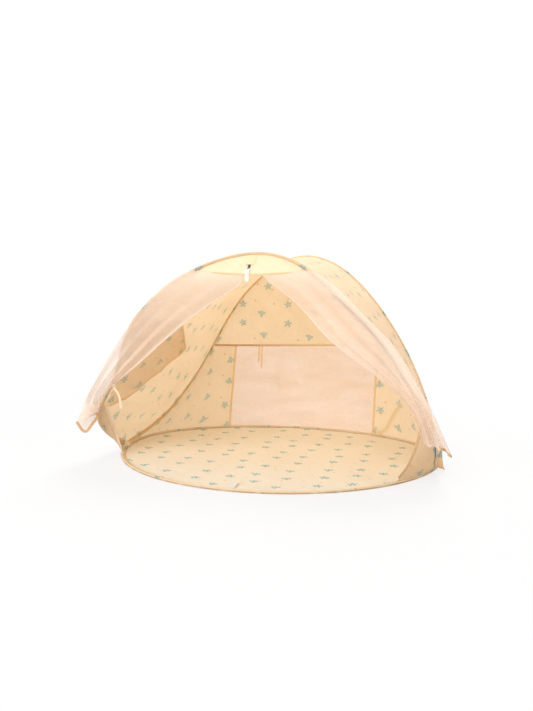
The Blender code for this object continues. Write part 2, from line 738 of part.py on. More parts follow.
def curtain_grid(edges, droop):
    """A curtain between its two edges, with folds that deepen towards the hem."""
    edges = np.array(edges)
    outer = natural_spline(edges[:, 0], np.linspace(0.0, len(edges) - 1.0, CURTAIN_ROWS))
    inner = natural_spline(edges[:, 1], np.linspace(0.0, len(edges) - 1.0, CURTAIN_ROWS))
    across = np.linspace(0.0, 1.0, CURTAIN_COLUMNS)[None, :, None]
    down = np.linspace(0.0, 1.0, CURTAIN_ROWS)[:, None, None]
    sheet = outer[:, None] * (1.0 - across) + inner[:, None] * across
    depth = CURTAIN_FOLD_TOP * down + CURTAIN_FOLD_HEM * down**3
    wave = np.sin(2.0 * math.pi * CURTAIN_FOLDS * across)
    sheet = sheet + depth * wave * np.array([0.0, -1.0, 0.0])
    return sheet + 4.0 * across * (1.0 - across) * down**6 * np.array(droop)


def build_curtain(side, edges, droop):
    """A door curtain, with a tape along its hem and half of the zip along its inner edge."""
    grid = curtain_grid(edges, droop)
    made = [cloth(side + "_curtain", grid, SHEER_PEACH)]
    fall = unit(grid[-1] - grid[-2])
    fall = square_to(fall + 2.0 * fall.mean(axis=0), tangents_of(grid[-1]))
    made.append(strip(side + "_curtain_hem", grid[-1], fall, 0.009, BINDING_BROWN))
    inward = unit(grid[:, -1] - grid[:, -2])
    run = slice(1, CURTAIN_ROWS - 1)
    made.append(strip(side + "_zip_tape", grid[run, -1], inward[run], 0.008, TAPE_PEACH))
    return made


def build_left_tie():
    """The tape that ties the left curtain back to the arch, with its knot."""
    path = smooth_line(LEFT_TIE, 8)
    half = np.array([0.005, 0.0, 0.002])
    tape = cloth("left_tie_tape", np.stack([path - half, path + half]), TAPE_PEACH)
    knot = box("left_tie_knot", (0.012, 0.010, 0.012), LEFT_KNOT, 0.0, TAPE_PEACH, 0.8, 0.0, 0.003)
    return [tape, knot]


def ring_angles_from_foot(side, distances):
    """The ring's angles at distances from a foot, going round towards the front."""
    foot_angle = math.asin(FOLD_AXIS_Y / FLOOR_FRONT_DEPTH)
    fine = np.linspace(foot_angle, foot_angle - 1.2, 200)
    if side < 0:
        fine = math.pi - fine
    return np.interp(distances, lengths_along(ring_at(fine)), fine)


def gusset_grid(side, reach):
    """A gusset: from the front arch's foot up the arch, and from the foot round the ring."""
    up_arch, round_ring, cut_in = reach
    arch = FRONT_ARCH if side < 0 else FRONT_ARCH[::-1]
    lengths = lengths_along(arch)
    run = np.linspace(0.060, up_arch, 8)
    tangent = np.stack([np.interp(run, lengths, tangents_of(arch)[:, k]) for k in range(3)], axis=1)
    head = along(arch, run)
    angles = ring_angles_from_foot(side, np.linspace(0.030, round_ring, 8))
    ring = ring_at(angles)
    top = inset(head, ring, unit(tangent), SLEEVE_OUTER + SLEEVE_GAP)
    foot = inset(ring, head, ring_tangent_at(angles), SLEEVE_OUTER + SEAM_GAP)
    rows = ruled(top, foot, 6)
    share = np.linspace(0.0, 1.0, 6)[:, None, None]
    back = np.linspace(0.0, 1.0, 8)[None, :, None]
    corner = np.array([side * 0.728, FOLD_AXIS_Y, FOLD_AXIS_Z])
    return rows + cut_in * 4.0 * share * (1.0 - share) * back * unit(corner - rows)


def build_gusset(side, name, reach):
    """A gusset and the tape on its free edge."""
    grid = gusset_grid(side, reach)
    made = [cloth(name + "_gusset", grid, PRINT_CREAM)]
    beyond = unit(grid[1:-1, -1] - grid[1:-1, -2])
    colour = TAPE_PEACH if side < 0 else BINDING_BROWN
    made.append(strip(name + "_gusset_tape", grid[1:-1, -1], beyond, 0.007, colour))
    return made


def build_ring_loop():
    """The short tape that is wrapped over the floor's ring at the end of the left gusset."""
    start, end, first_turn, last_turn = RING_LOOP
    line = ring_at(ring_angles_from_foot(-1.0, np.array([start, (start + end) / 2, end])))
    turns = np.radians(np.linspace(first_turn, last_turn, 8))
    rim = np.stack([np.cos(turns), np.sin(turns)], axis=1)
    inner = SLEEVE_OUTER + TOUCH_GAP
    section = np.vstack([(inner + CLOTH) * rim, inner * rim[::-1]])
    return [sweep("left_ring_loop", line, -line * (1.0, 1.0, 0.0), section, WHITE)]


# Small pieces that lie on the cloth

def build_window_ties():
    """The pair of tapes that hang from the seam over the window, and the one knotted at its lower corner."""
    made = []
    for number, x in enumerate((-0.262, -0.246)):
        wall = lower_wall_columns(np.array([x, x + 0.009]))
        length = 0.090 if number == 0 else 0.125
        run = np.linspace(0.012, length, 5)
        first = along(wall[:, 0], run)
        second = along(wall[:, 1], run)
        made.append(tape_on("window_tie_" + "ab"[number], first, second, TAPE_PEACH, 0.0040))
    path = smooth_line(LOWER_TIE, 10)
    half = np.array([0.0, 0.0, 0.0045])
    made.append(cloth("window_lower_tie", np.stack([path - half, path + half]), TAPE_PEACH, TAPE))
    return made


def build_label():
    """The small bare label sewn at the front edge of the floor."""
    x0, x1, y0, y1 = LABEL
    z = CLOTH + TOUCH_GAP + CLOTH / 2
    rows = np.array([[(x0, y0, z), (x1, y0, z)], [(x0, y1, z), (x1, y1, z)]])
    return [cloth("floor_label", rows, WHITE)]


def build_peg_tab():
    """The tab for a ground peg: it hangs outside the right foot, down to a tip beside the ring."""
    return [cloth("right_peg_tab", np.array(FOOT_TAB), PRINT_CREAM)]


def build_foot_patches():
    """The patches inside both feet, where the arch ring is sewn to the floor's ring."""
    made = []
    for side, name in ((-1.0, "left"), (1.0, "right")):
        rows = np.array([
            [(0.7130, -0.205, 0.0160), (0.7130, -0.115, 0.0160)],
            [(0.7140, -0.190, 0.0330), (0.7140, -0.130, 0.0330)],
            [(0.7150, -0.172, 0.0450), (0.7150, -0.150, 0.0450)],
        ])
        made.append(cloth(name + "_foot_patch", rows * (side, 1.0, 1.0), PRINT_CREAM))
    return made


def place_on(pivot, made):
    """Puts finished objects under a pivot, with their origins on it."""
    where = pivot.matrix_world.translation.copy()
    for one in made:
        one.data.transform(Matrix.Translation(-where))
        one.parent = pivot


def pivot_at(name, position, parent=None):
    """An empty that marks a joint's axis."""
    made = bpy.data.objects.new(name, None)
    bpy.context.scene.collection.objects.link(made)
    made.parent = parent
    made.location = Vector(position) - (parent.location if parent else Vector())
    bpy.context.view_layer.update()
    return made


def main():
    """Builds the tent."""
    for old in list(bpy.data.objects):
        bpy.data.objects.remove(old, do_unlink=True)
    build_floor()
    _, front = build_arches()
    build_canopy()
    build_back_wall()
    build_window_ties()
    build_peg_tab()
    build_foot_patches()

    front += build_valance()
    front += build_curtain("left", LEFT_CURTAIN, LEFT_HEM_DROOP)
    front += build_curtain("right", RIGHT_CURTAIN, RIGHT_HEM_DROOP)
    front += build_left_tie()
    front += build_gusset(-1.0, "left", LEFT_GUSSET)
    front += build_gusset(1.0, "right", RIGHT_GUSSET)
    front += build_ring_loop()
    front += build_label()
    slider, swinging = build_zip()
    fold_pivot = pivot_at("front_fold_pivot", (0.0, FOLD_AXIS_Y, FOLD_AXIS_Z))
    place_on(fold_pivot, front + slider)
    place_on(pivot_at("zip_puller_pivot", zip_pin()[0], fold_pivot), swinging)


main()
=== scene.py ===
"""The looks of a pop-up beach tent: every cloth, tape and metal piece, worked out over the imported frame.

+X is to the right of someone who looks in at the door, +Y is to the back, and the ground is z = 0.
"""
import math

import bpy
import numpy as np
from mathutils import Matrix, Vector


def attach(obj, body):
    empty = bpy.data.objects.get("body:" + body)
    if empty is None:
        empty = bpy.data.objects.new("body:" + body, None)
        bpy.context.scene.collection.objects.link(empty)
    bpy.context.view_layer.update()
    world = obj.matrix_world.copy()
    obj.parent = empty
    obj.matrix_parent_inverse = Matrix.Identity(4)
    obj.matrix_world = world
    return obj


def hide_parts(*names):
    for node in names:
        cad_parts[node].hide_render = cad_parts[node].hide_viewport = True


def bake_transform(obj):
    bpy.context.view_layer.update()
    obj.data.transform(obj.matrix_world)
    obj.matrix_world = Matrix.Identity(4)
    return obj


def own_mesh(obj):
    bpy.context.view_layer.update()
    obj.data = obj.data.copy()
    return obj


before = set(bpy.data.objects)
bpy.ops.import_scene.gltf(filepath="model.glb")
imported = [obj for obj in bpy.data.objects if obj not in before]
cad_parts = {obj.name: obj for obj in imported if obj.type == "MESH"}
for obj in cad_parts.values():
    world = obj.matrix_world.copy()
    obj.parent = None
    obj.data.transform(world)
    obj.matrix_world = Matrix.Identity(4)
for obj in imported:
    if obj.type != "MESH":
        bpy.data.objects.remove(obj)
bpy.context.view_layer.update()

bl_info = {
    "name": "Pop-up Beach Tent",
    "version": (1, 0, 0),
    "blender": (4, 5, 0),
    "location": "3D View > Sidebar > Tent",
    "description": "Makes the cloth, tapes and metal of a pop-up beach tent",
    "category": "Add Mesh",
}

# The floor's outline: one half-width, and a deeper front than back (metres)
FLOOR_HALF_WIDTH = 0.750
FLOOR_FRONT_DEPTH = 0.693
FLOOR_BACK_DEPTH = 0.521
FLOOR_RING_Z = 0.0066
FLOOR_INSET = 0.0040
FLOOR_LIFT = 0.0009

# The arches: points on the right half, from the foot up to the top, then mirrored to the left
FRONT_ARCH_HALF = [
    (0.728, -0.161, 0.022),
    (0.737, -0.404, 0.198),
    (0.645, -0.430, 0.385),
    (0.528, -0.532, 0.597),
    (0.361, -0.565, 0.770),
    (0.204, -0.467, 0.880),
    (0.000, -0.385, 0.930),
]
REAR_ARCH_HALF = [
    (0.731, -0.161, 0.022),
    (0.713, 0.139, 0.060),
    (0.675, 0.400, 0.156),
    (0.575, 0.571, 0.364),
    (0.437, 0.574, 0.604),
    (0.243, 0.571, 0.829),
    (0.000, 0.590, 0.931),
]
FOOT_X = 0.728
FOLD_AXIS_Y = -0.161
FOLD_AXIS_Z = 0.022
ARCH_STEPS = 264
SLEEVE_TRIM = 0.016

# How far the cloth's edges lie from the middle of the ring and of the arches, where their sleeves hold them
RING_INSET = 0.0060
ARCH_INSET = 0.0064
PANEL_INSET = 0.0066

# The back wall: a level seam, and a sheer window under it between two upright tapes
BACK_SEAM_Z = 0.455
BACK_SEAM_RISE = 0.030
BACK_SEAM_Y = 0.560
BACK_SEAM_BOW = 0.018
BACK_SEAM_END_X = 0.535
CORNER_RISE = 0.012
WINDOW_LEFT_X = -0.395
WINDOW_RIGHT_X = 0.388

# The canopy draws in a little at the middle of its span
CANOPY_DRAW_IN = 0.035

# The second layer inside the left wall: shares of the way along the arches, and from front to rear
LAYER_TOP = [(0.300, 0.03), (0.305, 0.13), (0.310, 0.24), (0.312, 0.34)]
LAYER_BOTTOM = [(0.121, 0.03), (0.145, 0.19), (0.205, 0.36), (0.266, 0.54)]
LAYER_LIFT = 0.0045

# The plain panel under the top of the front arch
VALANCE_HALF_WIDTH = 0.240
VALANCE_EDGE_Y = -0.488
VALANCE_EDGE_Z = 0.862
VALANCE_SAG = 0.016

# The door curtains: matching points on the outer and inner edges, from the top row down to the hem
LEFT_CURTAIN = [
    ((-0.250, -0.512, 0.860), (-0.020, -0.4815, 0.849)),
    ((-0.338, -0.580, 0.796), (-0.075, -0.484, 0.790)),
    ((-0.440, -0.583, 0.692), (-0.225, -0.477, 0.695)),
    ((-0.528, -0.562, 0.600), (-0.385, -0.470, 0.572)),
    ((-0.615, -0.535, 0.495), (-0.530, -0.460, 0.450)),
    ((-0.695, -0.515, 0.380), (-0.650, -0.450, 0.352)),
    ((-0.745, -0.508, 0.300), (-0.698, -0.452, 0.278)),
    ((-0.785, -0.502, 0.205), (-0.722, -0.450, 0.213)),
]
RIGHT_CURTAIN = [
    ((0.254, -0.512, 0.860), (0.030, -0.4815, 0.849)),
    ((0.374, -0.594, 0.796), (0.120, -0.484, 0.790)),
    ((0.480, -0.592, 0.690), (0.225, -0.480, 0.700)),
    ((0.575, -0.557, 0.590), (0.330, -0.492, 0.592)),
    ((0.650, -0.515, 0.470), (0.489, -0.490, 0.473)),
    ((0.715, -0.487, 0.350), (0.620, -0.463, 0.352)),
    ((0.762, -0.470, 0.250), (0.675, -0.452, 0.255)),
    ((0.808, -0.455, 0.142), (0.694, -0.450, 0.180)),
]
LEFT_CUFF = [
    (-0.783, -0.502, 0.217),
    (-0.753, -0.505, 0.226),
    (-0.728, -0.492, 0.233),
    (-0.714, -0.464, 0.236),
    (-0.722, -0.452, 0.214),
    (-0.748, -0.457, 0.180),
    (-0.776, -0.462, 0.152),
    (-0.800, -0.482, 0.197),
]
CURTAIN_FOLDS = 3
CURTAIN_FOLD_TOP = 0.006
CURTAIN_FOLD_HEM = 0.009
LEFT_HEM_DROOP = (0.0, -0.040, -0.045)
RIGHT_HEM_DROOP = (0.0, -0.015, 0.016)

# The gussets: how far up the arch, how far round the ring, and how deep the free edge is cut in
LEFT_GUSSET = (0.375, 0.098, 0.012)
RIGHT_GUSSET = (0.380, 0.300, 0.055)
RING_LOOP = (0.102, 0.120, 30.0, 220.0)

# Small pieces
LEFT_TIE = [
    (-0.628, -0.462, 0.352),
    (-0.618, -0.463, 0.338),
    (-0.606, -0.462, 0.316),
    (-0.598, -0.460, 0.262),
]
LEFT_KNOT = (-0.632, -0.464, 0.362)
LOWER_TIE = [
    (0.405, 0.425, 0.030),
    (0.432, 0.413, 0.032),
    (0.458, 0.409, 0.055),
    (0.490, 0.418, 0.116),
    (0.521, 0.428, 0.171),
]
LABEL = (-0.046, -0.020, -0.674, -0.590)
FOOT_TAB = [
    ((0.7365, -0.166, 0.112), (0.7580, -0.156, 0.110)),
    ((0.7375, -0.165, 0.088), (0.7605, -0.153, 0.086)),
    ((0.7400, -0.160, 0.050), (0.7650, -0.156, 0.046)),
    ((0.7407, -0.142, 0.0142), (0.7705, -0.159, 0.017)),
    ((0.7449, -0.128, 0.0066), (0.7760, -0.150, 0.003)),
]
ZIP_X = -0.015
ZIP_SHARE_DOWN = 0.62
PIN_STAND_OFF = 0.0083
PULLER_LENGTH = 0.026
RIBBON_WIDTH = 0.018
RIBBON_END_Z = 0.816

# Where cloth that crosses the fold would bend: the part before the first point belongs with the rear half, and
# the part after the second with the front half. It is not bent here: a piece with a band is only left where it
# lies
GROUND_BAND = ((0.0, -0.135, 0.0), (0.0, -0.215, 0.0))
CANOPY_BAND = ((0.0, -0.072, 0.037), (0.0, -0.252, 0.063))

# The cloth's weave, print, stitches and streaked colour: stretches of the slubs along each thread, the cells of
# the print (metres), how many cells take a shell and how many no dot, and the warmer tone's loss of colour,
# painted fold shade on the curtains' voile
SLUB_STRETCHES = ((60.0, 900.0, 1.0), (900.0, 60.0, 1.0))
MOTIF_CELL = 0.130
DOT_CELL = 0.083
SHARE_OF_SHELLS = 0.62
SHARE_WITHOUT_DOT = 0.35
DOT_INK = 0.55
STITCH_PITCH = 0.0032
WARMTH = (0.015, 0.045, 0.10)

# The patch inside each foot, at the right one: its two sides, from the foot up
FOOT_PATCH = [
    [(0.7130, -0.205, 0.0140), (0.7130, -0.115, 0.0140)],
    [(0.7140, -0.190, 0.0330), (0.7140, -0.130, 0.0330)],
    [(0.7150, -0.172, 0.0460), (0.7150, -0.150, 0.0460)],
]

# The folded tapes (metres): how far one starts inside the edge that it binds, and how far each goes past it
BINDING_OVERLAP = 0.003
LAYER_TAPE_WIDTH = 0.006
PANEL_HEM_WIDTH = 0.004
HEM_WIDTH = 0.009
ZIP_TAPE_WIDTH = 0.005
GUSSET_TAPE_WIDTH = 0.008

# The sleeves' inner seams: how far they stand off the sleeve, and their tape
SEAM_STAND_OFF = 0.0060
SEAM_WIDTH = 0.0056
SEAM_THICKNESS = 0.0030

# The window's tapes and the pair of ties over it: each tie's letter, its x and its length
WINDOW_TAPE_HALF = 0.005
WINDOW_TOP_TAPE_ENDS = (-0.522, 0.512)
SEAM_TIES = (("a", -0.262, 0.090), ("b", -0.246, 0.125))
SEAM_TIE_WIDTH = 0.010

# The patch behind the slider: half its width, its shares of the way down the panel, and its stand-off
PATCH_HALF = 0.018
PATCH_SHARES = (0.06, 0.52)
PATCH_STAND_OFF = 0.0030

# The floor's wire, with half the gap between its ends (an angle), the voile, and the loop round the ring
WIRE_RADIUS = 0.0016
WIRE_GAP = 0.0007
VOILE_THICKNESS = 0.0006
RING_LOOP_RADII = (0.0094, 0.0074)

# The ground and the lamps: each lamp's name, place, size and share of the lamps' power
GROUND_HALF = 30.0
NEAR_WHITE = 0.72
LAMP_AIM = (0.0, 0.0, 0.4)
LAMPS = (
    ("lamp before the door", (-0.8, -4.4, 4.0), 3.0, 0.74),
    ("low lamp", (-2.6, -4.6, 1.2), 2.4, 0.34),
    ("lamp behind", (0.2, 2.9, 2.2), 2.0, 0.14),
    ("lamp over the roof", (0.3, 0.7, 3.4), 1.6, 0.27),
)

# The camera, fitted to the floor's ring and both arches in a frame of 533 by 711 pixels
FRAME_HEIGHT_PX = 711
FOCAL_PX = 760.119
SENSOR_MM = 36.0


def unit(vectors):
    """Vectors of length one."""
    return vectors / np.linalg.norm(vectors, axis=-1, keepdims=True)


def square_to(vectors, tangents):
    """The part of each vector that is square to its tangent, at length one."""
    return unit(vectors - np.sum(vectors * tangents, axis=-1, keepdims=True) * tangents)


def natural_spline(knots, samples):
    """Points of the natural cubic through evenly spaced knots."""
    count = len(knots)
    system = 4.0 * np.eye(count) + np.eye(count, k=1) + np.eye(count, k=-1)
    system[[0, -1]] = 0.0
    system[0, 0] = 1.0
    system[-1, -1] = 1.0
    pull = np.zeros_like(knots)
    pull[1:-1] = 6.0 * (knots[2:] - 2.0 * knots[1:-1] + knots[:-2])
    bend = np.linalg.solve(system, pull)
    span = np.clip(samples.astype(int), 0, count - 2)
    v = (samples - span)[:, None]
    u = 1.0 - v
    straight = knots[span] * u + knots[span + 1] * v
    return straight + ((u**3 - u) * bend[span] + (v**3 - v) * bend[span + 1]) / 6.0


def lengths_along(points):
    """The distance of each point from the first, along the line."""
    steps = np.linalg.norm(np.diff(points, axis=0), axis=1)
    return np.concatenate([[0.0], np.cumsum(steps)])


def at_places(places, known, values):
    """Rows of values read at new places by straight steps between the known ones."""
    return np.stack([np.interp(places, known, values[:, k]) for k in range(values.shape[1])], axis=1)


def along(points, distances):
    """Points on a line at the given distances from its start."""
    return at_places(distances, lengths_along(points), points)


def smooth_line(knots, steps, trim=0.0):
    """A smooth line through the knots, cut into equal steps, with both ends trimmed."""
    knots = np.array(knots, dtype=float)
    fine = natural_spline(knots, np.linspace(0.0, len(knots) - 1.0, 60 * len(knots)))
    total = lengths_along(fine)[-1]
    return along(fine, np.linspace(trim, total - trim, steps + 1))


def whole_arch(half):
    """The arch's points from the left foot over the top to the right foot."""
    half = np.array(half)
    return np.vstack([half * (-1.0, 1.0, 1.0), half[-2::-1]])


def tangents_of(points, closed=False):
    """The direction of a line at each of its points."""
    if closed:
        return unit(np.roll(points, -1, axis=0) - np.roll(points, 1, axis=0))
    return unit(np.gradient(points, axis=0))


def ring_curve(angles, z=FLOOR_RING_Z):
    """Points of the floor's outline, two half-ellipses, with the angle counted from +X to the back."""
    depth = np.where(np.sin(angles) > 0.0, FLOOR_BACK_DEPTH, FLOOR_FRONT_DEPTH)
    x = FLOOR_HALF_WIDTH * np.cos(angles)
    return np.stack([x, depth * np.sin(angles), np.full_like(x, z)], axis=1)


def ring_tangent(angles):
    """The outline's direction at the given angles."""
    step = 0.01
    return unit(ring_curve(angles + step) - ring_curve(angles - step))


FRONT_ARCH = smooth_line(whole_arch(FRONT_ARCH_HALF), ARCH_STEPS, SLEEVE_TRIM)
REAR_ARCH = smooth_line(whole_arch(REAR_ARCH_HALF), ARCH_STEPS, SLEEVE_TRIM)
FOOT_ANGLE = math.asin(FOLD_AXIS_Y / FLOOR_FRONT_DEPTH)


def inset(points, targets, tangents, distance):
    """Points moved towards their targets, square to the line that they lie on."""
    return points + distance * square_to(targets - points, tangents)


def between(first, second, share):
    """The place that lies a share of the way from the first to the second."""
    return first * (1.0 - share) + second * share


def ruled(top, bottom, rows):
    """A grid of straight lines from one edge to another."""
    return between(top[None], bottom[None], np.linspace(0.0, 1.0, rows)[:, None, None])


def smooth_share(values):
    """A soft step: three times the square less twice the cube of each value, held between nought and one."""
    t = np.clip(values, 0.0, 1.0)
    return t * t * (3.0 - 2.0 * t)


def ripples(u, v, seed, wavelength, stretch=1.0, waves=9):
    """Soft wrinkles round zero: sine waves whose directions, lengths and phases are drawn from a seed,
    added up and divided by the root of their number. The stretch draws them out along u."""
    draw = np.random.default_rng(seed)
    turns = draw.uniform(0.0, math.pi, waves)
    lengths = wavelength * draw.uniform(0.7, 1.5, waves)
    starts = draw.uniform(0.0, 2.0 * math.pi, waves)
    total = 0.0
    for turn, length, start in zip(turns, lengths, starts):
        path = u * math.cos(turn) / stretch + v * math.sin(turn)
        total = total + np.sin(2.0 * math.pi * path / length + start)
    return total / math.sqrt(waves)


def puckers(run, distance, seed, pitch=0.030, reach=0.028):
    """The small gathers beside a seam: waves along the seam, with a wandering pitch, that fade by an
    exponential of the distance from it."""
    wander = 0.6 * ripples(run, 0.0, seed, 0.22)
    return np.sin(2.0 * math.pi * run / pitch + 4.0 * wander) * np.exp(-distance / reach)


def grid_normals(grid):
    """Each point's normal: the step down its column crossed with the step along its row."""
    return unit(np.cross(np.gradient(grid, axis=0), np.gradient(grid, axis=1)))


def lengths_from_top(grid):
    """The distance of each grid point from the top of its column."""
    steps = np.linalg.norm(np.diff(grid, axis=0), axis=2)
    return np.vstack([np.zeros(grid.shape[1]), np.cumsum(steps, axis=0)])


def grid_uv(grid):
    """Flat coordinates in metres: u along the middle row, and v down each column from that row."""
    middle = grid.shape[0] // 2
    u = lengths_along(grid[middle])
    v = lengths_from_top(grid)
    v = v - v[middle]
    return np.stack([np.broadcast_to(u, v.shape), v], axis=2)


def new_piece(name, points, faces, face_uv, material, caps=()):
    """A smooth mesh object from quads with a UV pair at each corner, and any many-sided end caps."""
    mesh = bpy.data.meshes.new(name)
    mesh.from_pydata(points.tolist(), [], faces.tolist() + [list(cap) for cap in caps])
    layer = mesh.uv_layers.new(name="cloth")
    flat = np.zeros((len(mesh.loops), 2), dtype=np.float32)
    flat[: faces.size] = face_uv.reshape(-1, 2)
    layer.data.foreach_set("uv", flat.ravel())
    mesh.materials.append(material)
    mesh.update()
    mesh.shade_smooth()
    mesh.set_sharp_from_angle(angle=math.radians(62.0))
    made = bpy.data.objects.new(name, mesh)
    bpy.context.scene.collection.objects.link(made)
    return made


def grid_faces(index):
    """The quads of a grid of point numbers, turned so that they face along the grid's normals."""
    return np.stack([index[:-1, :-1], index[1:, :-1], index[1:, 1:], index[:-1, 1:]], axis=2).reshape(-1, 4)


def cloth_piece(name, grid, material, uv=None, thickness=0.0008):
    """A closed sheet: the grid moved half a thickness to each side along its normals, with a rim."""
    uv = grid_uv(grid) if uv is None else uv
    rows, columns = grid.shape[:2]
    lift = 0.5 * thickness * grid_normals(grid)
    points = np.concatenate([(grid + lift).reshape(-1, 3), (grid - lift).reshape(-1, 3)])
    index = np.arange(rows * columns).reshape(rows, columns)
    front = grid_faces(index)
    under = index.size
    border = np.concatenate([index[:, 0], index[-1, 1:], index[-2::-1, -1], index[0, -2:0:-1]])
    after = np.roll(border, -1)
    rim = np.stack([after, border, border + under, after + under], axis=1)
    faces = np.concatenate([front, front[:, ::-1] + under, rim])
    flat = np.concatenate([uv.reshape(-1, 2)] * 2)
    return new_piece(name, points, faces, flat[faces], material)


def swept_piece(name, path, sides, section, material, closed=False, scale=None):
    """A section carried along a path. Each of its points is so far along the side vector and so far along
    the vector square to it and to the path. The scale, if any, is one factor for each place."""
    tangents = tangents_of(path, closed)
    sides = square_to(np.broadcast_to(sides, path.shape), tangents)
    others = np.cross(tangents, sides)
    section = np.array(section)
    size = np.ones(len(path)) if scale is None else scale
    across = section[None, :, 0, None] * sides[:, None] + section[None, :, 1, None] * others[:, None]
    rings = path[:, None] + size[:, None, None] * across
    count, corners = rings.shape[:2]
    stations = np.arange(count if closed else count - 1)[:, None]
    around = np.arange(corners)[None]
    beside = (around + 1) % corners
    here = stations * corners
    there = (stations + 1) % count * corners
    faces = np.stack([here + around, here + beside, there + beside, there + around], axis=2)
    loop = np.vstack([path, path[:1]]) if closed else path
    u = lengths_along(loop)
    v = lengths_along(np.vstack([section, section[:1]]))
    v = np.minimum(v, v[-1] - v)
    shape = faces.shape[:2]
    ends = [u[:-1, None], u[:-1, None], u[1:, None], u[1:, None]]
    turns = [v[:-1], v[1:], v[1:], v[:-1]]
    face_uv = np.stack([
        np.stack([np.broadcast_to(end, shape), np.broadcast_to(turn, shape)], axis=-1)
        for end, turn in zip(ends, turns)
    ], axis=2)
    caps = [] if closed else [
        range(corners - 1, -1, -1), range((count - 1) * corners, count * corners)
    ]
    faces = faces.reshape(-1, 4)
    return new_piece(name, rings.reshape(-1, 3), faces, face_uv.reshape(-1, 4, 2), material, caps)


def round_section(radius, corners=12):
    """A round section."""
    turns = np.arange(corners) * 2.0 * math.pi / corners
    return np.stack([radius * np.cos(turns), radius * np.sin(turns)], axis=1)


def tape_section(width, thickness, corners=20, start=None):
    """A flat tape's section with soft edges: powers of the cosine and the sine. It runs along the side
    vector from the start, which is minus half its width unless given."""
    turns = (np.arange(corners) + 0.5) * 2.0 * math.pi / corners
    x = np.sign(np.cos(turns)) * np.abs(np.cos(turns)) ** 0.45 * width / 2
    y = np.sign(np.sin(turns)) * np.abs(np.sin(turns)) ** 0.65 * thickness / 2
    middle = 0.0 if start is None else start + width / 2
    return np.stack([x + middle, y], axis=1)


def sleeve_section(outer, wall=0.0007, lip=0.008, slit=0.0006, corners=22):
    """A sleeve's section: a tube that ends in two flat lips, with a slit for the sewn cloth between."""
    inner = outer - wall
    first = math.asin((slit + wall) / outer)
    second = math.asin(slit / inner)
    turns = np.linspace(first, 2.0 * math.pi - first, corners)
    returns = np.linspace(2.0 * math.pi - second, second, corners)
    end = outer + lip
    return np.vstack([
        outer * np.stack([np.cos(turns), np.sin(turns)], axis=1),
        [(end, -slit - wall), (end, -slit)],
        inner * np.stack([np.cos(returns), np.sin(returns)], axis=1),
        [(end, slit), (end, slit + wall)],
    ])


def settle(piece, stands_for, body=None, band=None):
    """Puts a finished piece on its body, or leaves it where it lies when it has a band across the fold, and
    hides the CAD nodes that it stands for.
    """
    if band:
        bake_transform(piece)
    else:
        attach(piece, body)
    if stands_for:
        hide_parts(*stands_for)
    return piece


# Materials

def add_node(tree, kind, sockets=None, **settings):
    """A shader node with its settings, and its sockets given values or linked."""
    made = tree.nodes.new("ShaderNode" + kind)
    for key, value in settings.items():
        setattr(made, key, value)
    give(tree, made, sockets or {})
    return made


def give(tree, node, sockets):
    """Gives a node's sockets their values or links."""
    for key, value in sockets.items():
        if isinstance(value, bpy.types.NodeSocket):
            tree.links.new(value, node.inputs[key])
        else:
            node.inputs[key].default_value = value


def maths(tree, operation, *values):
    """A Math node's output."""
    return add_node(tree, "Math", dict(enumerate(values)), operation=operation).outputs[0]


def vector_maths(tree, operation, *values, output=0):
    """A Vector Math node's output."""
    made = add_node(tree, "VectorMath", dict(enumerate(values)), operation=operation)
    return made.outputs[output]


def soft_mask(tree, value, edge, softness):
    """One where the value is under the edge and nought over it, with a soft border."""
    levels = {"From Min": edge - softness, "From Max": edge + softness, "To Min": 1.0, "To Max": 0.0}
    made = add_node(tree, "MapRange", {"Value": value, **levels}, interpolation_type="SMOOTHSTEP")
    return made.outputs["Result"]


def blend_colours(tree, share, first, second, blend_type="MIX"):
    """A colour Mix node's output."""
    sockets = {0: share, 6: first, 7: second}
    for key in (6, 7):
        if not isinstance(sockets[key], bpy.types.NodeSocket):
            sockets[key] = (*sockets[key], 1.0)
    return add_node(tree, "Mix", sockets, data_type="RGBA", blend_type=blend_type).outputs[2]


def noise_at(tree, vector, scale=1.0, detail=2.0, **others):
    """The value of a Noise Texture at a vector."""
    return add_node(tree, "TexNoise", {"Vector": vector, "Scale": scale, "Detail": detail, **others}).outputs[0]


def shared_group(fill, inputs, outputs):
    """The node group that a function fills in, made with its named sockets when it is first asked for."""
    name = "tent_" + fill.__name__
    if name in bpy.data.node_groups:
        return bpy.data.node_groups[name]
    group = bpy.data.node_groups.new(name, "ShaderNodeTree")
    for label in inputs:
        kind = "NodeSocketVector" if label == "Vector" else "NodeSocketFloat"
        group.interface.new_socket(name=label, in_out="INPUT", socket_type=kind)
    for label in outputs:
        group.interface.new_socket(name=label, in_out="OUTPUT", socket_type="NodeSocketFloat")
    values = fill(group, *group.nodes.new("NodeGroupInput").outputs[: len(inputs)])
    end = group.nodes.new("NodeGroupOutput")
    for socket, value in zip(end.inputs, values):
        group.links.new(value, socket)
    return group


def weave(tree, vector, threads):
    """Plain weave: sines of the thread counts both ways, with slubs from noise drawn out along each thread.
    It gives a height, and a tone that varies about one."""
    parts = add_node(tree, "SeparateXYZ", {0: vector})
    waves = [maths(tree, "SINE", maths(tree, "MULTIPLY", parts.outputs[k], threads)) for k in range(2)]
    slubs = [noise_at(tree, vector_maths(tree, "MULTIPLY", vector, stretch)) for stretch in SLUB_STRETCHES]
    slub = maths(tree, "ADD", *slubs)
    height = maths(tree, "ADD", maths(tree, "MULTIPLY", maths(tree, "MULTIPLY", *waves), 0.4), slub)
    return height, maths(tree, "MULTIPLY_ADD", slub, 0.16, 0.84)


